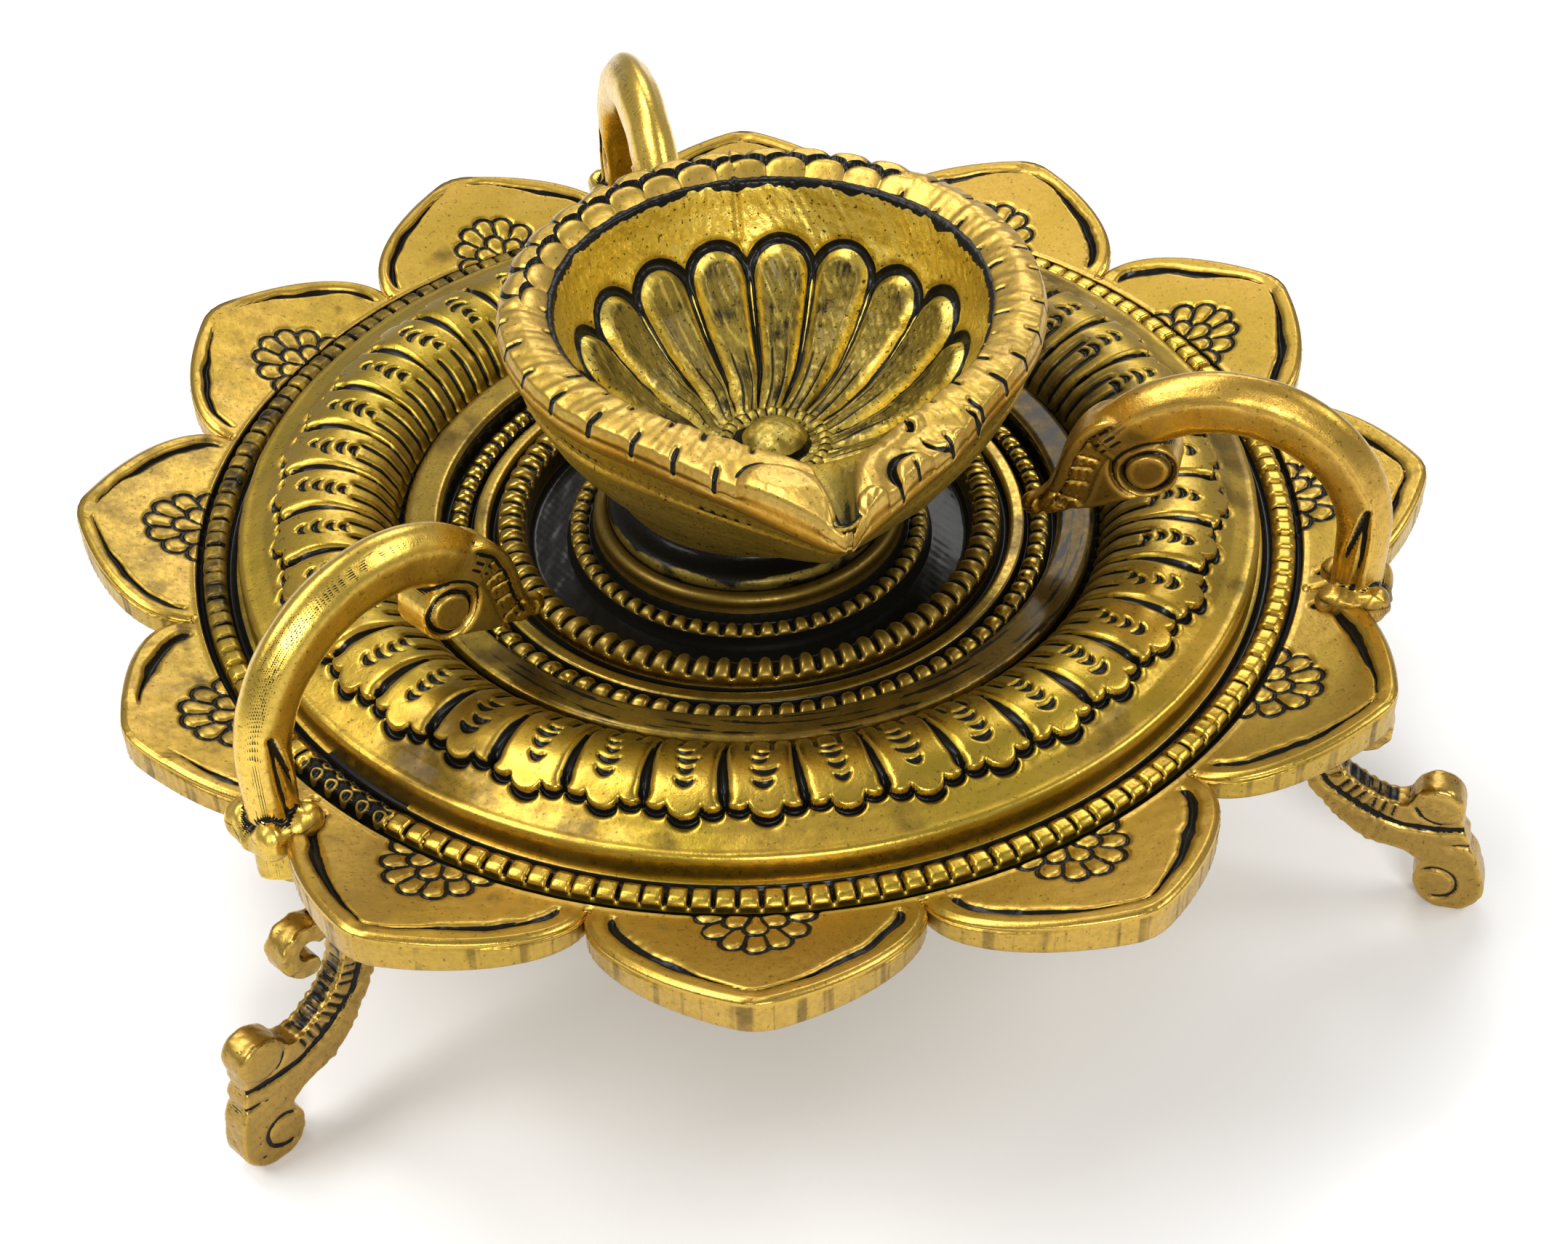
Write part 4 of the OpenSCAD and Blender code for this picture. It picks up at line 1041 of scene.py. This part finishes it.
def leg_solid():
    s, t, z = lattice((60.6, -4.4, -0.5), (100.6, 4.5, 49.5))
    (s2, z2), side = np.broadcast_arrays(s[:, 0], z[:, 0]), abs(t)
    blade = outline_field(rounded(BLADE), s2, z2)
    knob = hypot(s2 - KNOB[0], z2 - KNOB[1]) - 3.55
    foot = hypot(s2 - FOOT[0], z2 - FOOT[1]) - 4.85
    hx, hz = s2 - HOOK[0], z2 - HOOK[1]
    hook = abs(hypot(hx, hz) - 2.85) - 1.35
    hook = maximum(hook, -outline_field([(-9, 0.4), (0.2, 0.4), (0.6, -9), (-9, -9)], hx, hz))
    curl = hypot(s2 - HOOK[0] - 0.5, z2 - HOOK[1] + 2.6) - 1.6
    flat = smooth_min(smooth_min(blade, knob, 0.5), foot, 0.6)
    flat = smooth_min(flat, smooth_min(hook, curl, 0.4), 0.6)
    q, p = path_field(CREST, s2, z2)
    on = (blade < 0.2) * window(p, 1.0, 19.5, 1.0)
    ribs = on * window(q, 0.5, 2.5, 0.3) * (0.5 + 0.5 * cos(p * TAU / 1.4)) ** 2
    line = ridge(q - 3.15, 0.54) * window(p, 0.0, 17.8, 1.0) * (blade < -0.1)
    lower, lp = path_field([(80.6, 17.6), (83.6, 15.5), (87.6, 14.4), (91.5, 14.3), (97.0, 15.3)], s2, z2)
    lower2, lp2 = path_field([(92.2, 11.6), (95.0, 12.0), (98.2, 12.2)], s2, z2)
    line = maximum(line, ridge(lower, 0.54) * ease(0, 1, lp))
    line2 = ridge(lower2, 0.38) * ease(0, 3, lp2)
    orb = hypot(s2 - 92.3, z2 - 18.8)
    disc = hypot(s2 - 92.3, z2 - 4.4)
    turn = degrees(np.arctan2(z2 - 4.4, s2 - 92.3))
    whorl = ridge(disc - 2.7, 0.42) * window(turn, -95, 125, 25)
    ball = ridge(orb - 3.2, 0.50) * ease(0.6, -1.2, z2 - 18.6) * ease(94.0, 92.0, s2)
    hooked = (hook < 0.3) * (0.5 + 0.5 * cos(np.arctan2(hz, hx) * 9)) * window(hypot(hx, hz), 3.2, 5, 0.3)
    half = LEG_HALF - 0.55 * line - 0.42 * line2 - 0.45 * whorl - 0.4 * ball - 0.5 * ribs - 0.25 * hooked
    half = half + 0.55 * swell(orb / 3.1) + 0.05 * wobble(s2, z2, 6, 140)
    nick = maximum(ridge(hypot(s2 - 96.7, z2 - 15.2), 1.0), ridge(hypot(s2 - 97.4, z2 - 12.1), 0.8))
    solid = smooth_max((flat + 0.6 * nick)[:, None], side - half[:, None], 0.55)
    # Ribs run on over the narrow outer face.
    solid = solid + (0.16 * on * (0.5 + 0.5 * cos(p * TAU / 1.55)))[:, None]
    pad = most(abs(s - 71.45) - 9.3, side - 3.5, 45.65 - z, z - 48.55)
    solid = smooth_min(solid, pad, 0.5)
    solid = solid + 0.05 * wobble(s + 1.3 * t, z + 0.7 * t, 2.2, 141)
    solid = most(solid, 0.02 - z, z - 48.5)
    verts, quads, hollow, at = skin_of(solid, s, t, z)
    flank = ease(1.2, 1.6, abs(verts[:, 1]))
    cuts = most(1.15 * line, 0.8 * line2, 0.72 * whorl, 0.9 * ball, 0.7 * ribs)
    face = 0.55 * on * ease(1.0, 0.3, q) + 0.9 * nick
    paint = most(ease(0.57, 0.70, hollow), flank * cuts[at], (1 - flank) * face[at])
    wear_and_sheen = ease(0.45, 0.35, hollow)
    return verts, quads, paint, wear_and_sheen * (1 - clip(paint, 0, 1)), 0.22 + 0.2 * on[at]


# The three handles are one brass: the right one is painted browner as shade, and the left and back ones are
# lighter as painted light.
add_copies("handle", handle_solid(), ((0, 0.30, swan), (0, 0, swan_lit), (0, 0, swan_lit)))
# The right leg splays and the left one stands in, both by the same amount.
add_copies("leg", leg_solid(), ((4.6, 0, scroll), (0, 0, scroll), (-4.6, 0, scroll)))

# The bolt, its washer and the screws are right as they are and only take a finish.
fastener = brass("brass_fastener", (0.46, 0.32, 0.075), (0.36, 0.26, 0.050), (0.16, 0.11, 0.03),
                 0.32, 0.9, 0.5, 0.9)
SCREWS = [f"{part}_screw_{side}" for part in ("handle", "leg") for side in STATIONS]
for name in ["centre_bolt", "bolt_washer"] + SCREWS:
    for place in bpy.data.objects[name].material_slots:
        place.material = fastener


# --------------------------------------------------------------------- camera
AZ, EL, DIST = -15.16, 41.31, 350.9
TARGET = (-1.83, -23.19, 52.0)
ROLL, LENS = -1.52, 63.4


def add_camera():
    a, e, roll = (radians(v) for v in (AZ, EL, ROLL))
    back = Vector((sin(a) * cos(e), -cos(a) * cos(e), sin(e)))
    right = (-back).cross(Vector((0, 0, 1))).normalized()
    up = right.cross(-back)
    across = right * cos(roll) + up * sin(roll)
    over = -right * sin(roll) + up * cos(roll)
    cam = bpy.data.cameras.new("camera")
    cam.lens, cam.sensor_width = LENS, 36
    cam.clip_start, cam.clip_end = 0.01, 10
    ob = bpy.data.objects.new("camera", cam)
    place = Matrix((across, over, back)).transposed().to_4x4()
    place.translation = Vector(TARGET) * MM + back * DIST * MM
    ob.matrix_world = place
    bpy.context.scene.collection.objects.link(ob)
    bpy.context.scene.camera = ob


# --------------------------------------------------------- floor and lighting
def add_floor():
    me = bpy.data.meshes.new("floor")
    me.from_pydata([(-3, -3, 0), (3, -3, 0), (3, 3, 0), (-3, 3, 0)], [], [(0, 1, 2, 3)])
    m = bpy.data.materials.new("floor_pale")
    m.use_nodes = True
    b = m.node_tree.nodes["Principled BSDF"]
    b.inputs["Base Color"].default_value = (0.93, 0.93, 0.93, 1)
    b.inputs["Roughness"].default_value = 0.7
    b.inputs["Specular IOR Level"].default_value = 0.1
    me.materials.append(m)
    ob = bpy.data.objects.new("floor", me)
    bpy.context.scene.collection.objects.link(ob)


def softbox(name, where, size, power):
    light = bpy.data.lights.new(name, "AREA")
    light.shape, light.size, light.size_y = "RECTANGLE", size[0], size[1]
    light.energy = power
    ob = bpy.data.objects.new(name, light)
    ob.location = where
    aim = Vector((0, 0, 0.06)) - Vector(where)
    ob.rotation_euler = aim.to_track_quat("-Z", "Y").to_euler()
    bpy.context.scene.collection.objects.link(ob)


def add_lights():
    world = bpy.data.worlds.new("studio")
    bpy.context.scene.world = world
    world.use_nodes = True
    back = world.node_tree.nodes["Background"]
    back.inputs[0].default_value = (1, 1, 1, 1)
    back.inputs[1].default_value = 0.40
    softbox("key", (-0.70, 0.0, 0.90), (0.5, 0.5), 6)
    softbox("fill", (0.80, -0.20, 0.75), (0.5, 0.35), 3)
    softbox("back", (0.50, 0.90, 0.90), (0.6, 0.35), 3.9)
    softbox("over", (-0.30, 0.46, 1.24), (0.5, 0.4), 6.2)
    softbox("front", (-0.10, -1.1, 0.75), (0.45, 0.3), 8)
    bpy.context.scene.view_settings.view_transform = "Standard"


add_floor()
add_lights()
add_camera()
